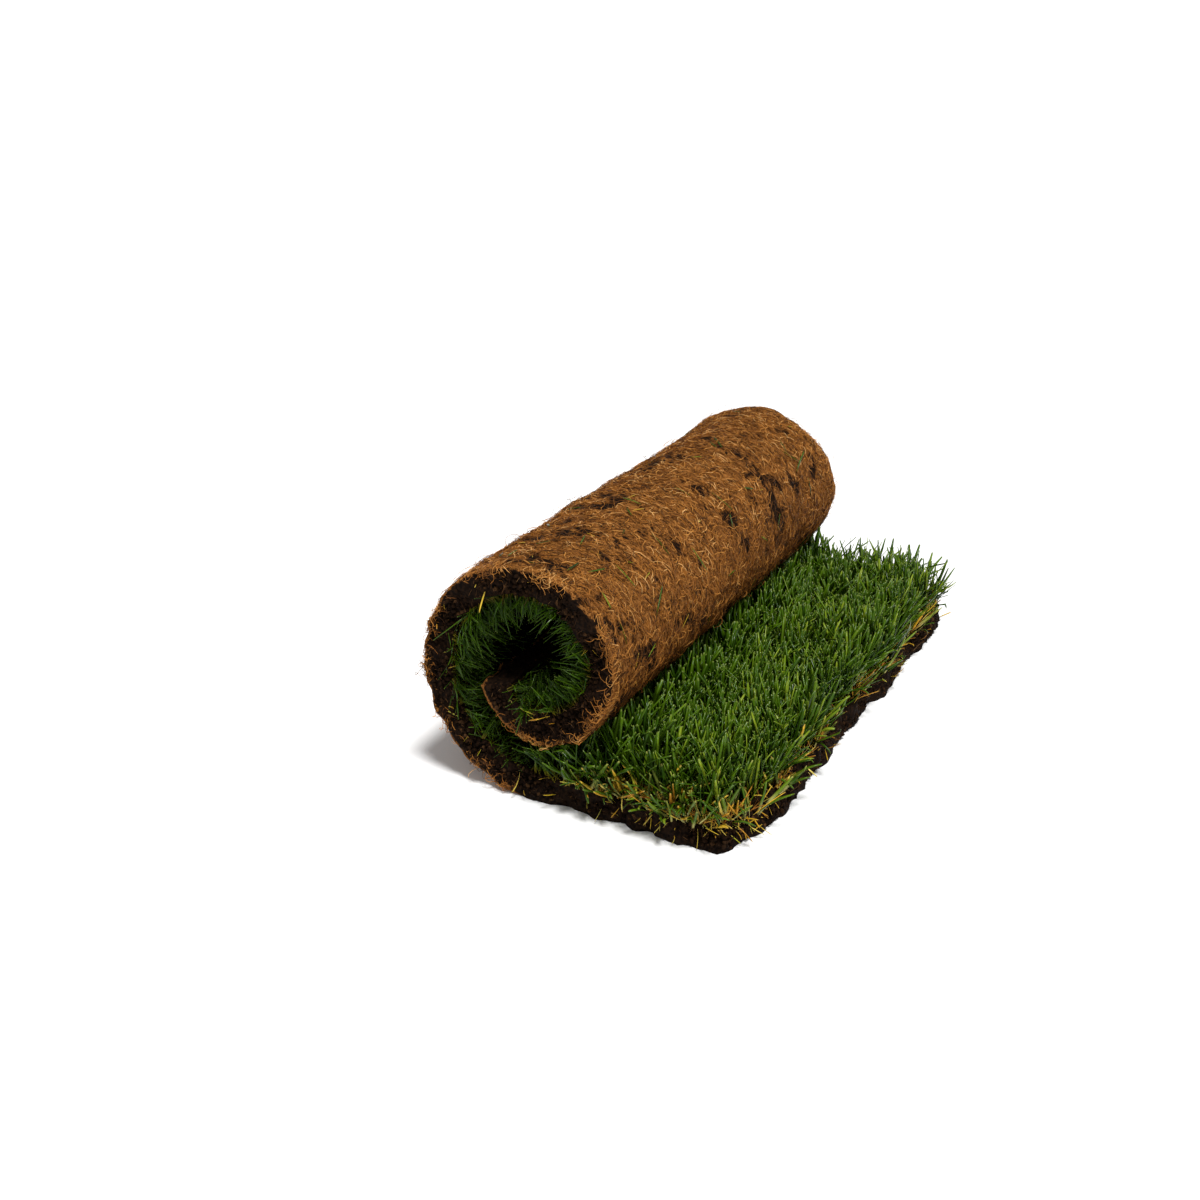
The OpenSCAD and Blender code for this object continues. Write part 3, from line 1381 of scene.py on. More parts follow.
@dataclass
class RootMat:
    """The mat of roots, fibre and soil, with uneven faces and ragged cut edges."""

    strip: Strip
    cells: tuple[int, int, int] = (168, 112, 7)
    crumble: float = 2.2 * MM
    clod_size: float = 9 * MM
    grain_size: float = 4 * MM
    worn_depth: float = 42 * MM
    worn_size: float = 22 * MM
    soil_rim: float = 18 * MM
    soil_fade: float = 6 * MM
    soil_lift: float = 20 * MM

    def block(self) -> tuple[np.ndarray, np.ndarray]:
        """Makes the surface of a block of cells.

        Returns:
            Its points, as shares of the block's sides, and its quads.
        """
        low_steps = ((0, 0), (0, 1), (1, 1), (1, 0))
        high_steps = ((0, 0), (1, 0), (1, 1), (0, 1))
        quads = []
        for axis in range(3):
            one, two = (axis + 1) % 3, (axis + 2) % 3
            across, upward = np.arange(self.cells[one]), np.arange(self.cells[two])
            first, second = np.meshgrid(across, upward, indexing="ij")
            for side, steps in ((0, low_steps), (self.cells[axis], high_steps)):
                corner = np.zeros((first.size, 4, 3), int)
                corner[..., axis] = side
                for number, (right, up) in enumerate(steps):
                    corner[:, number, one] = first.ravel() + right
                    corner[:, number, two] = second.ravel() + up
                quads.append(corner)
        spots, ids = np.unique(np.concatenate(quads).reshape(-1, 3), axis=0, return_inverse=True)
        return spots / np.array(self.cells), ids.reshape(-1, 4)

    def outlined(self, share: np.ndarray) -> tuple[np.ndarray, np.ndarray]:
        """Gives the block the sheet's outline, with its grass side worn back along the edges.

        Args:
            share: Points as shares of the block's sides.

        Returns:
            Flat x and y of each point.
        """
        strip = self.strip
        y = (2.0 * share[:, 1] - 1.0) * strip.half_width
        x = strip.back_x + (strip.front(y) - strip.back_x) * share[:, 0]
        near = -strip.half_width + strip.setback(x, Side.NEAR)
        far = strip.half_width - strip.setback(x, Side.FAR)
        y = near + (far - near) * share[:, 1]
        worn = np.clip(1.0 + 0.9 * Lumps(60).at(rows(x, y, y), self.worn_size), 0.2, 1.8)
        worn *= share[:, 2] ** 2
        y += worn * strip.side_wear(x, Side.NEAR) * fading(y - near, self.worn_depth)
        y -= worn * strip.side_wear(x, Side.FAR) * fading(far - y, self.worn_depth)
        x -= worn * strip.free_wear(y) * fading(strip.front(y) - x, self.worn_depth)
        return x, y

    def flat(self, share: np.ndarray) -> np.ndarray:
        """Gives the block the sheet's outline and uneven faces, still flat.

        Args:
            share: Points as shares of the block's sides.

        Returns:
            Flat places.
        """
        strip = self.strip
        height = share[:, 2]
        x, y = self.outlined(share)
        flat = rows(x, y, strip.thickness * height)
        rough = Lumps(60)
        bulge = self.crumble * (rough.at(flat, self.clod_size) + 0.6 * rough.at(flat, self.grain_size))
        middle = 4.0 * height * (1.0 - height)
        for axis in (0, 1):
            face = np.where(share[:, axis] == 0.0, -1.0, np.where(share[:, axis] == 1.0, 1.0, 0.0))
            flat[:, axis] += face * bulge * (1.0 - 0.7 * height + 0.4 * middle)
        flat[:, 2] -= strip.swell(flat) * (1.0 - height)
        lies = strip.wound(flat) < 0.0
        flat[lies, 2] = np.maximum(flat[lies, 2], 0.0)
        return flat

    def soiled(self, flat: np.ndarray) -> np.ndarray:
        """Says where soil clings to the root side, along the cut edges of the tongue.

        Args:
            flat: Flat places on the root side.

        Returns:
            Shares from 0 for fibre to 1 for soil.
        """
        strip = self.strip
        rim = np.minimum(strip.front(flat[:, 1]) - flat[:, 0], strip.half_width - np.abs(flat[:, 1]))
        lying = rising(flat[:, 0] - strip.roll_x, -self.soil_lift, self.soil_lift)
        return lying * rising(-rim, -self.soil_rim, self.soil_fade)

    def build(self, finish: bpy.types.Material) -> bpy.types.Object:
        """Makes the mat.

        Args:
            finish: Its material.

        Returns:
            The piece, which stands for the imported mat.
        """
        share, quads = self.block()
        flat = self.flat(share)
        mesh = bpy.data.meshes.new("root_mat_felt")
        mesh.from_pydata(self.strip.wrap(flat).tolist(), [], quads.tolist())
        under = np.maximum(self.strip.blotch(flat), self.soiled(flat))
        give(mesh, {"flat": flat, "soil": np.where(share[:, 2] > 0.0, 1.0, under)})
        mesh.materials.append(finish)
        mesh.shade_smooth()
        piece = show("root_mat_felt", mesh)
        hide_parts("root_mat")
        return piece


@dataclass
class FibreFelt:
    """The felt of fine fibres on the root side, its fringe on the cut sides and roots in the soil."""

    strip: Strip
    radius: float = 0.18 * MM
    kinds: int = 48
    felt_end: float = 392 * MM
    felt_start: float = 5 * MM
    side_gap: float = 3 * MM
    bed_step: float = 4 * MM
    drift_size: float = 40 * MM
    mottle_size: float = 9 * MM
    # Where painted shade darkens the felt on the roll's front and its lower part, by the length wound
    front_shade_at: float = 255 * MM
    front_shade_span: float = 60 * MM
    low_shade_at: float = 325 * MM
    low_shade_span: float = 50 * MM
    fringe_past_felt: float = 40 * MM
    fringe_start: float = 10 * MM
    fringe_step: float = 3 * MM
    fringe_depth: float = 5 * MM
    fringe_size: float = 14 * MM
    fringe_shade: float = 9 * MM
    clump_at: float = 352 * MM
    clump_reach: float = 18 * MM

    def lying(self, draw: np.random.Generator, least: float, most: float) -> Shape:
        """Makes one fibre that lies on the root side, along X.

        Args:
            draw: Where its sizes are drawn.
            least: Least height of its middle over the root side.
            most: Most height of its middle.

        Returns:
            The fibre.
        """
        share = np.linspace(0.0, 1.0, draw.choice([3, 3, 4, 4, 5]))
        length = draw.uniform(1.8, 3.0) * MM * len(share)
        arch = 4.0 * (share - share**2)
        wave = 0.06 * np.sin(share * math.tau * draw.uniform(0.6, 1.3) + draw.uniform(0.0, math.tau))
        lift = draw.uniform(least, most) * arch
        aside = (draw.normal(0.0, 0.22) * arch + wave) * length
        path = rows((share - 0.5) * length, aside, -lift)
        return swept(path, self.radius * draw.choice([0.7, 1.0, 1.0, 1.4]), draw.uniform(0.0, 1.0))

    def flyaway(self, draw: np.random.Generator) -> Shape:
        """Makes one curly fibre that stands off the felt.

        Args:
            draw: Where its sizes are drawn.

        Returns:
            The fibre, which starts at the root side and drifts along X.
        """
        share = np.linspace(0.0, 1.0, 7)
        length = draw.uniform(8.0, 18.0) * MM
        turn = share * draw.uniform(0.5, 1.3) * math.tau + draw.uniform(0.0, math.tau)
        curl = draw.uniform(0.1, 0.22) * length * share**0.7
        lift = draw.uniform(1.5, 5.5) * MM * np.sin(share * draw.uniform(1.6, 3.0))
        path = rows(share * length + curl * np.cos(turn), curl * np.sin(turn), -lift)
        return swept(path, self.radius * 0.75, draw.uniform(0.0, 1.0))

    def hanging(self, draw: np.random.Generator) -> Shape:
        """Makes one fringe fibre that comes over the edge and hangs in a loop on the cut side.

        Args:
            draw: Where its sizes are drawn.

        Returns:
            The fibre, which comes along Y and hangs along Z.
        """
        inside, depth, draw_in = 7 * MM, 0.6 * MM, 1.6 * MM
        share = np.linspace(0.0, 1.0, 12)
        over = np.minimum(share * 2.5, 1.0)
        down = np.maximum(share * 1.4 - 0.4, 0.0)
        out = draw.choice([1.0, 1.0, 1.0, 2.4]) * draw.uniform(0.6, 3.6) * MM
        hang = draw.uniform(2.0, 11.0) * MM
        turns = draw.choice([-1.0, 1.0]) * draw.uniform(1.0, 2.2)
        loop = turns * math.tau * share + draw.uniform(0.0, math.tau)
        curl = draw.uniform(0.6, 3.6) * MM * down**0.5
        x = draw.uniform(-7.0, 7.0) * MM * share**1.5 + curl * np.sin(loop)
        y = (inside + out) * over - inside - draw_in * down + 0.5 * curl * np.cos(loop)
        z = hang * down - depth + 0.6 * curl * np.cos(loop * 1.3)
        return swept(rows(x, y, z), self.radius * 0.85, draw.uniform(0.0, 1.0))

    def root(self, draw: np.random.Generator) -> Shape:
        """Makes one crooked root that sticks out of the soil along Z.

        Args:
            draw: Where its sizes are drawn.

        Returns:
            The root.
        """
        share = np.linspace(0.0, 1.0, 5)
        length = draw.uniform(4.0, 11.0) * MM
        x = share * length * draw.uniform(0.1, 0.5)
        y = np.sin(share * draw.uniform(1.0, 3.0)) * length * draw.uniform(0.05, 0.25)
        return swept(rows(x, y, share * length), self.radius * 0.65, draw.uniform(0.0, 1.0))

    def on_roll(self, flat: np.ndarray) -> np.ndarray:
        """Lays flat fibres on the uneven root side and rolls them up.

        Args:
            flat: Flat places, as if the root side were even.

        Returns:
            The real places.
        """
        raised = flat.copy()
        raised[:, 2] -= self.strip.swell(flat)
        return self.strip.rolled(raised)

    def darkened(self, flat: np.ndarray) -> np.ndarray:
        """Gives factors on the tint that mottle the felt, darken it where soil shows and paint shade on the
        roll's front and on its lower part by the grass.

        Args:
            flat: Flat places.

        Returns:
            One factor for each.
        """
        mottle = Lumps(75).at(flat * (1.0, 1.0, 0.0), self.mottle_size)
        wound = self.strip.wound(flat)
        front = rising(wound, self.front_shade_at, self.front_shade_span)
        low = rising(wound, self.low_shade_at, self.low_shade_span)
        soil = self.strip.blotch(flat)
        # Painted shade: the roll's front, and more so its lower part by the grass, are darkened.
        return (1.0 - 0.62 * soil) * (1.0 + 0.2 * mottle) * (1.0 - 0.12 * front - 0.4 * low)

    def shaded(self, flat: np.ndarray) -> np.ndarray:
        """Gives factors on the tint that paint shade on the fringe, darker the further it hangs down over the
        soil.
        """
        # Painted shade on the hanging fringe, darker further down.
        return 1.0 - 0.4 * rising(flat[:, 2], 0.0, self.fringe_shade)

    def felt_bed(self) -> Bed:
        """Lays the bed of the felt: the whole outside of the roll, thin over dark soil.

        Returns:
            The bed.
        """
        strip = self.strip
        x = np.arange(strip.roll_x - self.felt_end, strip.roll_x + self.felt_start, self.bed_step)

        def place(a: np.ndarray, b: np.ndarray) -> np.ndarray:
            """Gives flat places at share b of the way from the near to the far side."""
            near, far = (strip.half_width - strip.setback(a, side) - self.side_gap for side in Side)
            return rows(a, (near + far) * b - near, 0.0)

        bed = Bed.grid(x, np.linspace(0.0, 1.0, 120), place)
        bed.cover = 1.0 - 0.6 * strip.blotch(bed.points)
        bed.turn = 0.05 + 0.5 * Lumps(70).at(bed.points, self.drift_size)
        return bed

    def fringe_bed(self, side: Side) -> Bed:
        """Lays the bed of the fringe along one cut side of the roll.

        Args:
            side: Which side.

        Returns:
            The bed, with more fringe where the near side hangs over the grass.
        """
        strip = self.strip
        end = strip.roll_x - self.felt_end - self.fringe_past_felt
        x = np.arange(end, strip.roll_x - self.fringe_start, self.fringe_step)

        def place(a: np.ndarray, b: np.ndarray) -> np.ndarray:
            """Gives flat places on the root side, at distance b in from the edge."""
            return rows(a, side.value * (strip.half_width - strip.setback(a, side) - b), 0.0)

        bed = Bed.grid(x, np.linspace(0.0, self.fringe_depth, 3), place)
        tufts = Lumps(80 + side.value).at(bed.points * (1.0, 0.0, 0.0), self.fringe_size)
        bed.cover = np.clip(0.45 + 1.3 * tufts, 0.05, 1.5)
        if side is Side.NEAR:
            clump = hill(strip.wound(bed.points) - self.clump_at, self.clump_reach)
            bed.cover += 0.7 * clump
            bed.grow += 0.2 * clump
        bed.turn = np.full(len(bed.points), 0.0 if side is Side.FAR else math.pi)
        return bed

    def build(self, tree: Strewing, finishes: dict[Finish, bpy.types.Material]) -> list[bpy.types.Object]:
        """Makes the felt, its fuzz and both fringes.

        Args:
            tree: The strewing tree.
            finishes: Materials by finish.

        Returns:
            The pieces.
        """
        draw = np.random.default_rng(7)
        under = [self.lying(draw, 0.1 * MM, 0.6 * MM) for _ in range(self.kinds)]
        over = [self.lying(draw, 0.7 * MM, 2.0 * MM) for _ in range(self.kinds)]
        fuzz = [self.flyaway(draw) for _ in range(self.kinds)]
        fringe = [self.hanging(draw) for _ in range(self.kinds)]
        sizes = (0.75, 1.3)
        layers = (
            (Sowing("fibre_felt_under", Slot.ROOT_MAT, 11, 112000.0, sizes, 1.57, 0.0), under, UNDER_FIBRE),
            (Sowing("fibre_felt_over", Slot.ROOT_MAT, 12, 118000.0, sizes, 1.45, 0.0), over, FIBRE),
            (Sowing("fibre_fuzz", Slot.ROOT_MAT, 13, 6500.0, sizes, math.pi, 0.0), fuzz, FIBRE),
        )
        pieces = []
        for sowing, shapes, finish in layers:
            bed = self.felt_bed()
            pieces.append(sowing.strew(tree, bed, shapes, finishes[finish], self.on_roll, self.darkened))
        for side in Side:
            name = f"fibre_fringe_{side.name.lower()}"
            sowing = Sowing(name, Slot.ROOT_MAT, 21 + side.value, 620000.0, (0.7, 1.3), 0.9, 0.15)
            bed = self.fringe_bed(side)
            pieces.append(sowing.strew(tree, bed, fringe, finishes[FIBRE], self.on_roll, self.shaded))
        return pieces


@dataclass
class Grass:
    """The grass that stands on the tongue, and the grass that is rolled up inside the roll."""

    strip: Strip
    kinds: int = 24
    blades: int = 3
    foot_spread: float = 2.5 * MM
    foot_depth: float = 1.0 * MM
    clear: float = 1.5 * MM
    fallen_share: float = 0.72

    # Standing grass
    near_gap: float = 2 * MM
    free_gap: float = 3 * MM
    far_round: float = 5 * MM
    far_round_reach: float = 30 * MM
    edge_reach: float = 16 * MM
    corner_reach: float = 14 * MM
    foot_reach: float = 16 * MM
    foot_shade: float = 26 * MM
    under_reach: float = 40 * MM
    sway_size: float = 32 * MM
    height_size: float = 24 * MM

    # Rolled grass
    inner_gap: float = 4 * MM
    inner_step: float = 6 * MM
    inner_depth: float = 60 * MM
    inner_sway_size: float = 16 * MM
    inner_height_size: float = 14 * MM
    inner_under_reach: float = 90 * MM
    # Factor of the painted shade on the rolled grass
    inner_shade_factor: float = 0.45

    def tuft(self, draw: np.random.Generator, kind: BladeKind, lean: float) -> Shape:
        """Makes one tuft of blades from one foot.

        Args:
            draw: Where its sizes are drawn.
            kind: The kind of its blades.
            lean: Most that a blade leans out, in radians.

        Returns:
            The tuft.
        """
        found = []
        for _ in range(self.blades):
            blade = kind.drawn(draw)
            shift = (*draw.uniform(-self.foot_spread, self.foot_spread, 2), -self.foot_depth)
            found.append(blade.turned(draw.uniform(0.0, math.tau), draw.uniform(0.0, lean), shift))
        return Shape.joined(found)

    def on_tongue(self, along: np.ndarray, across: np.ndarray) -> np.ndarray:
        """Gives flat places on the grass side of the tongue.

        Args:
            along: Shares of the tongue's length, from under the roll.
            across: Shares of its width, from the near side.

        Returns:
            The places.
        """
        strip = self.strip
        start = strip.roll_x
        worn = strip.side_wear(start + (strip.free_x - start) * along, Side.NEAR)
        near = strip.half_width - worn - self.near_gap
        far = strip.half_width - strip.ledge
        y = (near + far) * across - near
        round_off = self.far_round * fading(strip.half_width - y, self.far_round_reach)
        end = strip.front(y) - strip.free_wear(y) - self.free_gap - round_off
        return rows(start + (end - start) * along, y, strip.thickness)

    def standing_bed(self) -> Bed:
        """Lays the bed of the standing grass on the tongue, with blades leaning out at its edges.

        Returns:
            The bed.
        """
        strip = self.strip
        bed = Bed.grid(np.linspace(0.0, 1.0, 40), np.linspace(0.0, 1.0, 100), self.on_tongue)
        x, y, _ = bed.points.T
        ahead = fading(strip.front(y) - x, self.edge_reach)
        aside = fading(strip.half_width - np.abs(y), self.edge_reach)
        edge = np.maximum(ahead, aside)
        behind = fading(x - strip.roll_x - strip.front_radius, self.foot_reach)
        beneath = fading(x - strip.roll_x, self.under_reach)
        corner = np.exp(-np.hypot(strip.front(y) - x, strip.half_width - y) / self.corner_reach)
        drift = Lumps(90)
        sway = 0.22 - 0.14 * edge
        bed.lean[:, 0] = 0.02 + 0.06 * ahead - 0.2 * behind + sway * drift.at(bed.points, self.sway_size)
        bed.lean[:, 1] = np.sign(y) * 0.1 * aside + sway * drift.at(bed.points + 1.0, self.sway_size)
        bed.cover = 1.0 + 0.4 * edge + 4.0 * corner
        foot = behind * (1.0 - beneath) * (0.2 - 0.15 * y / strip.half_width)
        low = foot - 0.35 * beneath - 0.6 * corner
        bed.grow = 1.0 + 0.08 * drift.at(bed.points + 2.0, self.height_size) + low
        return bed

    def fallen_bed(self) -> Bed:
        """Lays the bed of the cut blades that lie on the standing grass.

        Returns:
            The bed, high up in the grass.
        """
        bed = self.standing_bed()
        bed.points[:, 2] += self.fallen_share * self.strip.grass_height
        bed.lean *= 0.0
        return bed

    def rolled_bed(self) -> Bed:
        """Lays the bed of the rolled grass, thick at the open ends and thin far inside.

        Returns:
            The bed.
        """
        strip = self.strip
        x = np.arange(strip.back_x + self.inner_gap, strip.roll_x, self.inner_step)
        y = np.linspace(-1.0, 1.0, 90) * (strip.half_width - strip.ledge)
        bed = Bed.grid(x, y, lambda a, b: rows(a, b, strip.thickness))
        along = bed.points[:, 1]
        deep = (strip.half_width - np.abs(along)) / self.inner_depth
        bed.cover = np.clip(1.0 - deep, 0.07, 1.0)
        drift = Lumps(95)
        outward = np.sign(along) * 0.15 * np.clip(1.0 - deep * 3.0, 0.0, 1.0)
        bed.lean[:, 0] = 0.4 + 1.8 * drift.at(bed.points, self.inner_sway_size)
        bed.lean[:, 1] = outward + 0.9 * drift.at(bed.points + 1.0, self.inner_sway_size)
        beneath = fading(strip.wound(bed.points), self.inner_under_reach)
        bed.grow = 0.66 + 0.25 * drift.at(bed.points + 2.0, self.inner_height_size) - 0.35 * beneath
        return bed

    def beside_roll(self, flat: np.ndarray) -> np.ndarray:
        """Presses blades of the tongue out of the front of the roll.

        Args:
            flat: Flat places, which are real ones on the tongue.

        Returns:
            The places moved clear of the roll.
        """
        strip = self.strip
        real = flat.copy()
        centre = strip.front_centre + strip.rise(real[:, 1])
        arm_x = real[:, 0] - strip.roll_x
        arm_z = real[:, 2] - centre
        reach = np.hypot(arm_x, arm_z)
        least = strip.front_radius + self.clear
        inside = reach < least
        real[inside, 0] = strip.roll_x + arm_x[inside] * least / reach[inside]
        real[inside, 2] = centre[inside] + arm_z[inside] * least / reach[inside]
        return strip.hemmed(real)

    def painted_roll_shade(self, flat: np.ndarray) -> np.ndarray:
        """Gives factors on the tint that paint shade on the grass at the foot of the roll."""
        away = flat[:, 0] - self.strip.roll_x - self.strip.front_radius
        # Painted shade: the grass is darker close to the foot of the roll.
        return 1.0 - 0.4 * fading(away, self.foot_shade)

    def painted_inner_shade(self, flat: np.ndarray) -> np.ndarray:
        """Gives factors on the tint that paint shade on the grass rolled up inside the roll."""
        # Painted shade on all the rolled grass.
        return np.full(len(flat), self.inner_shade_factor)

    def build(self, tree: Strewing, finish: bpy.types.Material) -> list[bpy.types.Object]:
        """Makes the standing and the rolled grass.

        Args:
            tree: The strewing tree.
            finish: The blades' material.

        Returns:
            The pieces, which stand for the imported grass.
        """
        mown = BladeKind(
            length=(0.74, 1.18),
            width=(1.2, 3.1),
            bend=(-0.2, 0.8),
            unit=self.strip.grass_height,
            stations=(0.0, 0.4, 0.78, 1.0),
            widths=(0.65, 1.0, 0.92, 0.5),
        )
        pressed = replace(mown, stations=(0.0, 0.5, 1.0), widths=(0.7, 1.0, 0.45))
        draw = np.random.default_rng(9)
        tufts = [self.tuft(draw, mown, 0.52) for _ in range(self.kinds)]
        inner = [self.tuft(draw, pressed, 0.9) for _ in range(self.kinds)]
        fallen = [FALLEN.drawn(draw) for _ in range(self.kinds)]
        pieces = []
        for number in range(2):
            name = f"standing_grass_{number}"
            sowing = Sowing(name, Slot.GRASS, 31 + number, 24000.0, (0.8, 1.1), math.pi, 0.32)
            bed = self.standing_bed()
            pieces.append(sowing.strew(tree, bed, tufts, finish, self.beside_roll, self.painted_roll_shade))
        sowing = Sowing("fallen_blades", Slot.GRASS, 35, 900.0, (0.7, 1.1), math.pi, 2.5)
        pieces.append(sowing.strew(tree, self.fallen_bed(), fallen, finish, self.beside_roll))
        sowing = Sowing("rolled_grass", Slot.GRASS, 41, 80000.0, (0.6, 1.05), math.pi, 0.9)
        pieces.append(sowing.strew(tree, self.rolled_bed(), inner, finish, self.strip.rolled, self.painted_inner_shade))
        for piece in pieces:
            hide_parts("grass")
        return pieces


@dataclass(frozen=True)
class Heap:
    """One kind of litter on the rim of the tongue, and how it lies there.

    corner_share is the share that lies only at the near side and its corner, droop is how far shapes
    lean out at the very edge, and start_share is the share of the rim left free along that edge.
    """

    name: str
    seed: int
    density: float
    sizes: tuple[float, float]
    kind: BladeKind
    finish: Finish
    corner_share: float
    droop: float
    start_share: float
    turn_spread: float = math.pi
    lean_spread: float = 1.2

    def sowing(self) -> Sowing:
        """Says how the heap is strewn."""
        spreads = (self.turn_spread, self.lean_spread)
        return Sowing(self.name, Slot.GRASS, self.seed, self.density, self.sizes, *spreads)


HEAPS = (
    Heap(
        name="thatch_edge",
        seed=71,
        density=300000.0,
        sizes=(0.25, 0.65),
        kind=STEM,
        finish=THATCH,
        corner_share=0.1,
        droop=0.35,
        start_share=0.36,
    ),
    Heap(
        name="straw_edge",
        seed=72,
        density=215000.0,
        sizes=(0.5, 1.15),
        kind=STEM,
        finish=STRAW,
        corner_share=0.88,
        droop=0.5,
        start_share=0.3,
    ),
    Heap(
        name="pale_blades",
        seed=73,
        density=85000.0,
        sizes=(0.7, 1.25),
        kind=DROOPING,
        finish=PALE_BLADE,
        corner_share=0.85,
        droop=0.5,
        start_share=0.22,
        lean_spread=0.6,
    ),
    Heap(
        name="pale_feet",
        seed=74,
        density=230000.0,
        sizes=(0.25, 0.5),
        kind=DROOPING,
        finish=STRAW,
        corner_share=0.85,
        droop=0.3,
        start_share=0.45,
        lean_spread=0.45,
    ),
    Heap(
        name="edge_blades",
        seed=75,
        density=75000.0,
        sizes=(0.8, 1.25),
        kind=BENT,
        finish=BLADE,
        corner_share=0.86,
        droop=0.55,
        start_share=0.25,
        turn_spread=0.8,
        lean_spread=0.5,
    ),
)


@dataclass
class EdgeLitter:
    """Straw and crumbs of soil on the cut edges, roots in them, and stray blades on the roll."""

    strip: Strip
    kinds: int = 14
    crumb_radius: float = 1.2 * MM
    stray_lift: float = 1.6 * MM

    # Beds on the cut faces
    face_step: float = 4 * MM
    face_start: float = 0.2
    clod_at: float = 94 * MM
    clod_reach: float = 9 * MM
    stem_reach: float = 50 * MM

    # Bed on the rim of the tongue
    rim_width: float = 7 * MM
    rim_inset: float = 3 * MM
    rim_start: float = 34 * MM
    rim_sink: float = 1 * MM
    rim_patch_size: float = 16 * MM
    free_droop: float = 0.65

    # Bed on the outside of the roll
    roll_end: float = 400 * MM
    roll_start: float = 60 * MM
    roll_step: float = 10 * MM

    def stray(self, draw: np.random.Generator) -> Shape:
        """Makes one blade that lies along X on the root side.

        Args:
            draw: Where its sizes are drawn.

        Returns:
            The blade.
        """
        shape = STRAY.drawn(draw)
        x, y, z = shape.points.T
        return replace(shape, points=rows(z, x, -y - self.stray_lift))

    def crumb(self, draw: np.random.Generator) -> Shape:
        """Makes one crumb of soil.

        Args:
            draw: Where its shape is drawn.

        Returns:
            The crumb, round the origin.
        """
        ball = bmesh.new()
        bmesh.ops.create_icosphere(ball, subdivisions=1, radius=self.crumb_radius)
        points = np.array([v.co for v in ball.verts])
        points *= draw.uniform(0.55, 1.3, (len(points), 1))
        faces = [tuple(v.index for v in f.verts) for f in ball.faces]
        ball.free()
        along = (points[:, 2] - points[:, 2].min()) / np.ptp(points[:, 2])
        return Shape(points, faces, along, np.full(len(points), draw.uniform(0.0, 1.0)))

    def side_bed(self, side: Side) -> Bed:
        """Lays a bed on one cut side, from the free edge back to the inner end.

        Args:
            side: Which side.

        Returns:
            The bed.
        """
        strip = self.strip
        x = np.arange(strip.back_x, strip.free_x - strip.near_cut - strip.skew, self.face_step)

        def place(a: np.ndarray, b: np.ndarray) -> np.ndarray:
            """Gives flat places on the cut side at share b of its height."""
            edge = strip.half_width - strip.setback(a, side) - strip.side_wear(a, side) * b**2
            return rows(a, side.value * edge, b * strip.thickness)

        bed = Bed.grid(x, np.linspace(self.face_start, 1.0, 6), place)
        bed.lean[:, 1] = side.value
        return bed

    def free_bed(self) -> Bed:
        """Lays a bed on the cut face of the free edge.

        Returns:
            The bed, with a clod of soil on it.
        """
        strip = self.strip
        end = strip.half_width - self.face_step
        y = np.arange(-end, end, self.face_step)

        def place(a: np.ndarray, b: np.ndarray) -> np.ndarray:
            """Gives flat places on the free edge at share b of its height."""
            return rows(strip.front(a) - strip.free_wear(a) * b**2, a, b * strip.thickness)

        bed = Bed.grid(y, np.linspace(self.face_start, 1.0, 6), place)
        bed.lean[:, 0] = 1.0
        bed.cover += 5.0 * hill(bed.points[:, 1] - self.clod_at, self.clod_reach)
        return bed

    def corner_bed(self, face: Bed) -> Bed:
        """Narrows a cut face's bed to the top of the near corner, where stems hang down.

        Args:
            face: The face's own bed.

        Returns:
            A new bed.
        """
        strip = self.strip
        x, y, z = face.points.T
        tip = strip.front(np.array([-strip.half_width]))[0]
        away = np.hypot(x - tip, y + strip.half_width)
        top = np.clip(2.0 * z / strip.thickness - 0.8, 0.0, 1.0)
        cover = top * np.exp(-away / self.stem_reach)
        return replace(face, cover=cover, lean=face.lean * 1.15 + (0.0, 0.0, -2.0))

    def on_rim(self, way: np.ndarray, share: np.ndarray) -> np.ndarray:
        """Gives flat places on the worn top of the tongue's cut edges.

        Args:
            way: Way round the rim: the near side up to 1, the free edge up to 2, the far side up to 3.
            share: Share of the rim's width, inwards.

        Returns:
            The places.
        """
        strip = self.strip
        half = strip.half_width - self.rim_inset
        start = strip.roll_x + self.rim_start
        free_y = rising(way, 1.0, 1.0) * 2.0 * half - half
        end = strip.front(free_y)
        beside = np.minimum(way, 3.0 - way)
        x = np.where(beside < 1.0, start + (end - start) * beside, end)
        y = free_y
        wear = strip.free_wear(free_y)
        for side, there in ((Side.NEAR, way < 1.0), (Side.FAR, way > 2.0)):
            wear = np.where(there, strip.side_wear(x, side), wear)
            y = np.where(there, side.value * (strip.half_width - strip.setback(x, side)), y)
        inward = share * (wear + self.rim_width)
        height = strip.thickness * np.sqrt(np.minimum(inward / wear, 1.0))
        x = np.where(beside < 1.0, x, x - inward)
        y = np.where(beside < 1.0, y - np.sign(y) * inward, y)
        return rows(x, y, height - self.rim_sink)

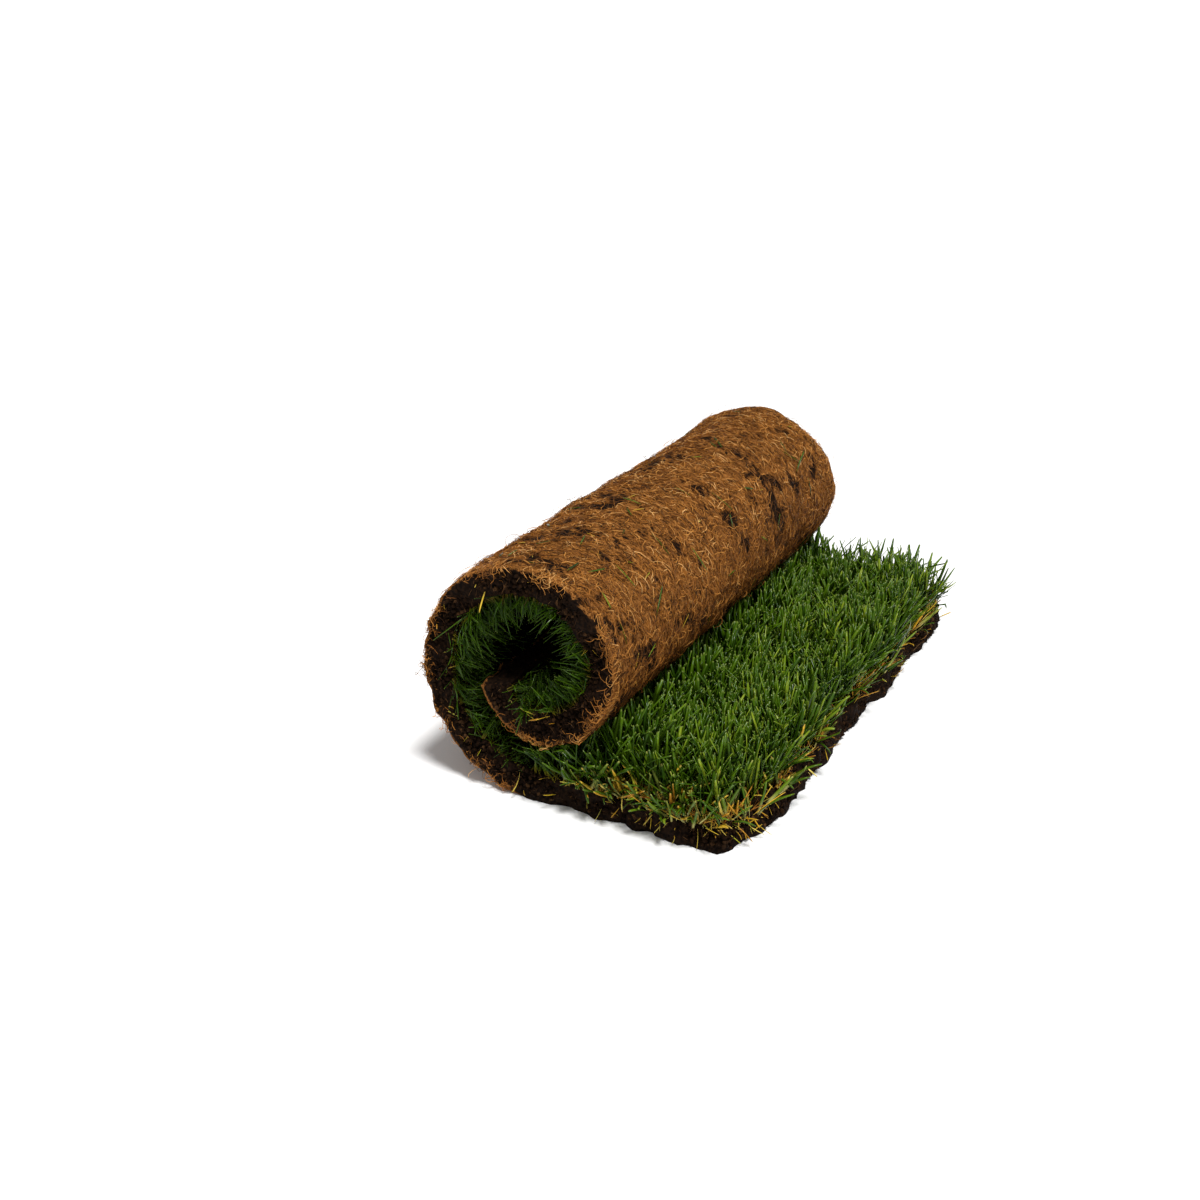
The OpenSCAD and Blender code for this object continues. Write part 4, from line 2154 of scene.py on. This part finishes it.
    def rim_bed(self, heap: Heap) -> Bed:
        """Lays a bed on the worn top of the tongue's cut edges, from the roll round to the roll.

        Args:
            heap: What lies there, and how.

        Returns:
            The bed, whose shapes lean out over the edges.
        """
        first = np.linspace(0.0, 3.0, 240)
        second = np.linspace(heap.start_share, 1.0, 4)
        bed = Bed.grid(first, second, self.on_rim)
        way = np.repeat(first, len(second))
        out = heap.droop * (1.1 - 0.8 * np.tile(second, len(first)))
        free = np.clip(4.0 - 6.0 * np.abs(way - 1.5), 0.0, 1.0)
        far = np.clip(6.0 * (way - 2.0) + 0.5, 0.0, 1.0)
        near = np.clip(6.0 * (1.0 - way) + 0.5, 0.0, 1.0)
        bed.lean[:, 0] = self.free_droop * out * free
        bed.lean[:, 1] = out * (far - near)
        corner = np.where(way < 1.0, 0.45 + 0.55 * way, np.exp(-10.0 * (way - 1.0)))
        patchy = np.clip(0.6 + 1.1 * Lumps(97).at(bed.points, self.rim_patch_size), 0.08, 1.6)
        bed.cover = patchy * (1.0 - heap.corner_share + heap.corner_share * corner)
        bed.turn = np.where(way < 1.0, math.pi, np.where(way < 2.0, -0.5 * math.pi, 0.0))
        return bed

    def roll_bed(self) -> Bed:
        """Lays a bed on the outside of the roll for stray blades.

        Returns:
            The bed.
        """
        strip = self.strip
        x = np.arange(strip.roll_x - self.roll_end, strip.roll_x - self.roll_start, self.roll_step)
        y = np.linspace(-0.95, 0.95, 40) * strip.half_width
        return Bed.grid(x, y, lambda a, b: rows(a, b, 0.0))

    def build(
        self,
        tree: Strewing,
        felt: FibreFelt,
        finishes: dict[Finish, bpy.types.Material],
    ) -> list[bpy.types.Object]:
        """Makes the litter.

        Args:
            tree: The strewing tree.
            felt: Gives the roots and lays stray blades on the felt.
            finishes: Materials by finish.

        Returns:
            The pieces.
        """
        draw = np.random.default_rng(13)
        drawn = {kind: [kind.drawn(draw) for _ in range(self.kinds)] for kind in (STEM, DROOPING, BENT)}
        strays = [self.stray(draw) for _ in range(self.kinds)]
        crumbs = [self.crumb(draw) for _ in range(self.kinds)]
        roots = [felt.root(draw) for _ in range(self.kinds)]
        stems = drawn[STEM]
        spin = math.pi
        rolled = self.strip.rolled
        faces = {
            "free": self.free_bed(),
            "near": self.side_bed(Side.NEAR),
            "far": self.side_bed(Side.FAR),
        }
        pieces = []
        for number, (place, bed) in enumerate(faces.items()):
            name = f"soil_crumbs_{place}"
            soil = Sowing(name, Slot.ROOT_MAT, 51 + number, 170000.0, (0.4, 1.8), spin, 2.0)
            pieces.append(soil.strew(tree, bed, crumbs, finishes[CRUMB], rolled))
            name = f"soil_roots_{place}"
            hair = Sowing(name, Slot.ROOT_MAT, 61 + number, 22000.0, (0.6, 1.2), spin, 0.8)
            pieces.append(hair.strew(tree, bed, roots, finishes[ROOT], rolled))
            name = f"soil_straw_{place}"
            bits = Sowing(name, Slot.GRASS, 65 + number, 4000.0, (0.25, 0.6), spin, 2.0)
            pieces.append(bits.strew(tree, bed, stems, finishes[STRAW], rolled))
        for number, place in enumerate(("free", "near")):
            name = f"hanging_stems_{place}"
            hung = Sowing(name, Slot.GRASS, 76 + number, 70000.0, (0.3, 0.6), spin, 0.6)
            pieces.append(hung.strew(tree, self.corner_bed(faces[place]), stems, finishes[STRAW], rolled))
        for heap in HEAPS:
            bed = self.rim_bed(heap)
            pieces.append(heap.sowing().strew(tree, bed, drawn[heap.kind], finishes[heap.finish], rolled))
        blades = Sowing("stray_blades", Slot.GRASS, 81, 600.0, (0.7, 1.2), spin, 0.0)
        pieces.append(blades.strew(tree, self.roll_bed(), strays, finishes[BLADE], felt.on_roll))
        straw = Sowing("stray_straw", Slot.GRASS, 82, 260.0, (0.3, 0.7), spin, 0.0)
        pieces.append(straw.strew(tree, self.roll_bed(), strays, finishes[STRAW], felt.on_roll))
        return pieces


@dataclass
class Studio:
    """A plain pale floor, soft light and a camera where the photograph was taken from."""

    floor_side: float = 60.0
    camera_place: Sequence[float] = (0.4145, -0.939, 0.5688)
    camera_way: Sequence[float] = (-0.431, 0.7915, -0.433)
    lens: float = 44.7
    sun_from: Sequence[float] = (0.26, -0.16, 1.0)
    sun_power: float = 3.5
    sun_angle: float = math.radians(14.0)
    sky: Colour = (1.0, 1.0, 1.0)
    sky_power: float = 0.36

    def floor(self) -> None:
        """Lays the floor."""
        half = self.floor_side / 2
        mesh = bpy.data.meshes.new("floor")
        corners = [(-half, -half, 0.0), (half, -half, 0.0), (half, half, 0.0), (-half, half, 0.0)]
        mesh.from_pydata(corners, [], [(0, 1, 2, 3)])
        mesh.materials.append(FloorFinish().material())
        made = bpy.data.objects.new("floor", mesh)
        bpy.context.scene.collection.objects.link(made)

    def light(self) -> None:
        """Hangs a soft sun, and lights the sky, which looks as pale as the floor."""
        lamp = bpy.data.lights.new("soft_sun", "SUN")
        lamp.energy = self.sun_power
        lamp.angle = self.sun_angle
        made = bpy.data.objects.new("soft_sun", lamp)
        made.rotation_euler = Vector(self.sun_from).to_track_quat("Z", "Y").to_euler()
        bpy.context.scene.collection.objects.link(made)
        world = bpy.data.worlds.new("soft_sky")
        world.use_nodes = True
        world.node_tree.nodes.clear()
        maker = Maker(world.node_tree)
        lit = maker.add("ShaderNodeBackground", {"Color": self.sky, "Strength": self.sky_power})
        seen = maker.add("ShaderNodeBackground", {"Color": self.sky})
        direct = maker.add("ShaderNodeLightPath", output="Is Camera Ray")
        out = world.node_tree.nodes.new("ShaderNodeOutputWorld")
        maker.feed(out.inputs["Surface"], maker.add("ShaderNodeMixShader", {0: direct, 1: lit, 2: seen}))
        bpy.context.scene.world = world

    def camera(self) -> None:
        """Sets the camera up."""
        data = bpy.data.cameras.new("camera")
        data.lens = self.lens
        made = bpy.data.objects.new("camera", data)
        made.location = self.camera_place
        made.rotation_euler = Vector(self.camera_way).to_track_quat("-Z", "Y").to_euler()
        bpy.context.scene.collection.objects.link(made)
        bpy.context.scene.camera = made

    def build(self) -> None:
        """Sets the studio up."""
        self.camera()
        self.floor()
        self.light()
        bpy.context.scene.view_settings.view_transform = "Standard"


def main() -> None:
    """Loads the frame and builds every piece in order."""
    logging.basicConfig(level=logging.INFO, format="%(name)s %(message)s")
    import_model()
    Studio().build()
    strip = Strip.from_frame()
    tree = Strewing()
    kinds = (BLADE, PALE_BLADE, STRAW, THATCH, UNDER_FIBRE, FIBRE, CRUMB, ROOT)
    finishes = {finish: finish.material() for finish in kinds}
    RootMat(strip).build(MatFinish().material())
    felt = FibreFelt(strip)
    felt.build(tree, finishes)
    Grass(strip).build(tree, finishes[BLADE])
    EdgeLitter(strip).build(tree, felt, finishes)


if __name__ == "__main__":
    main()
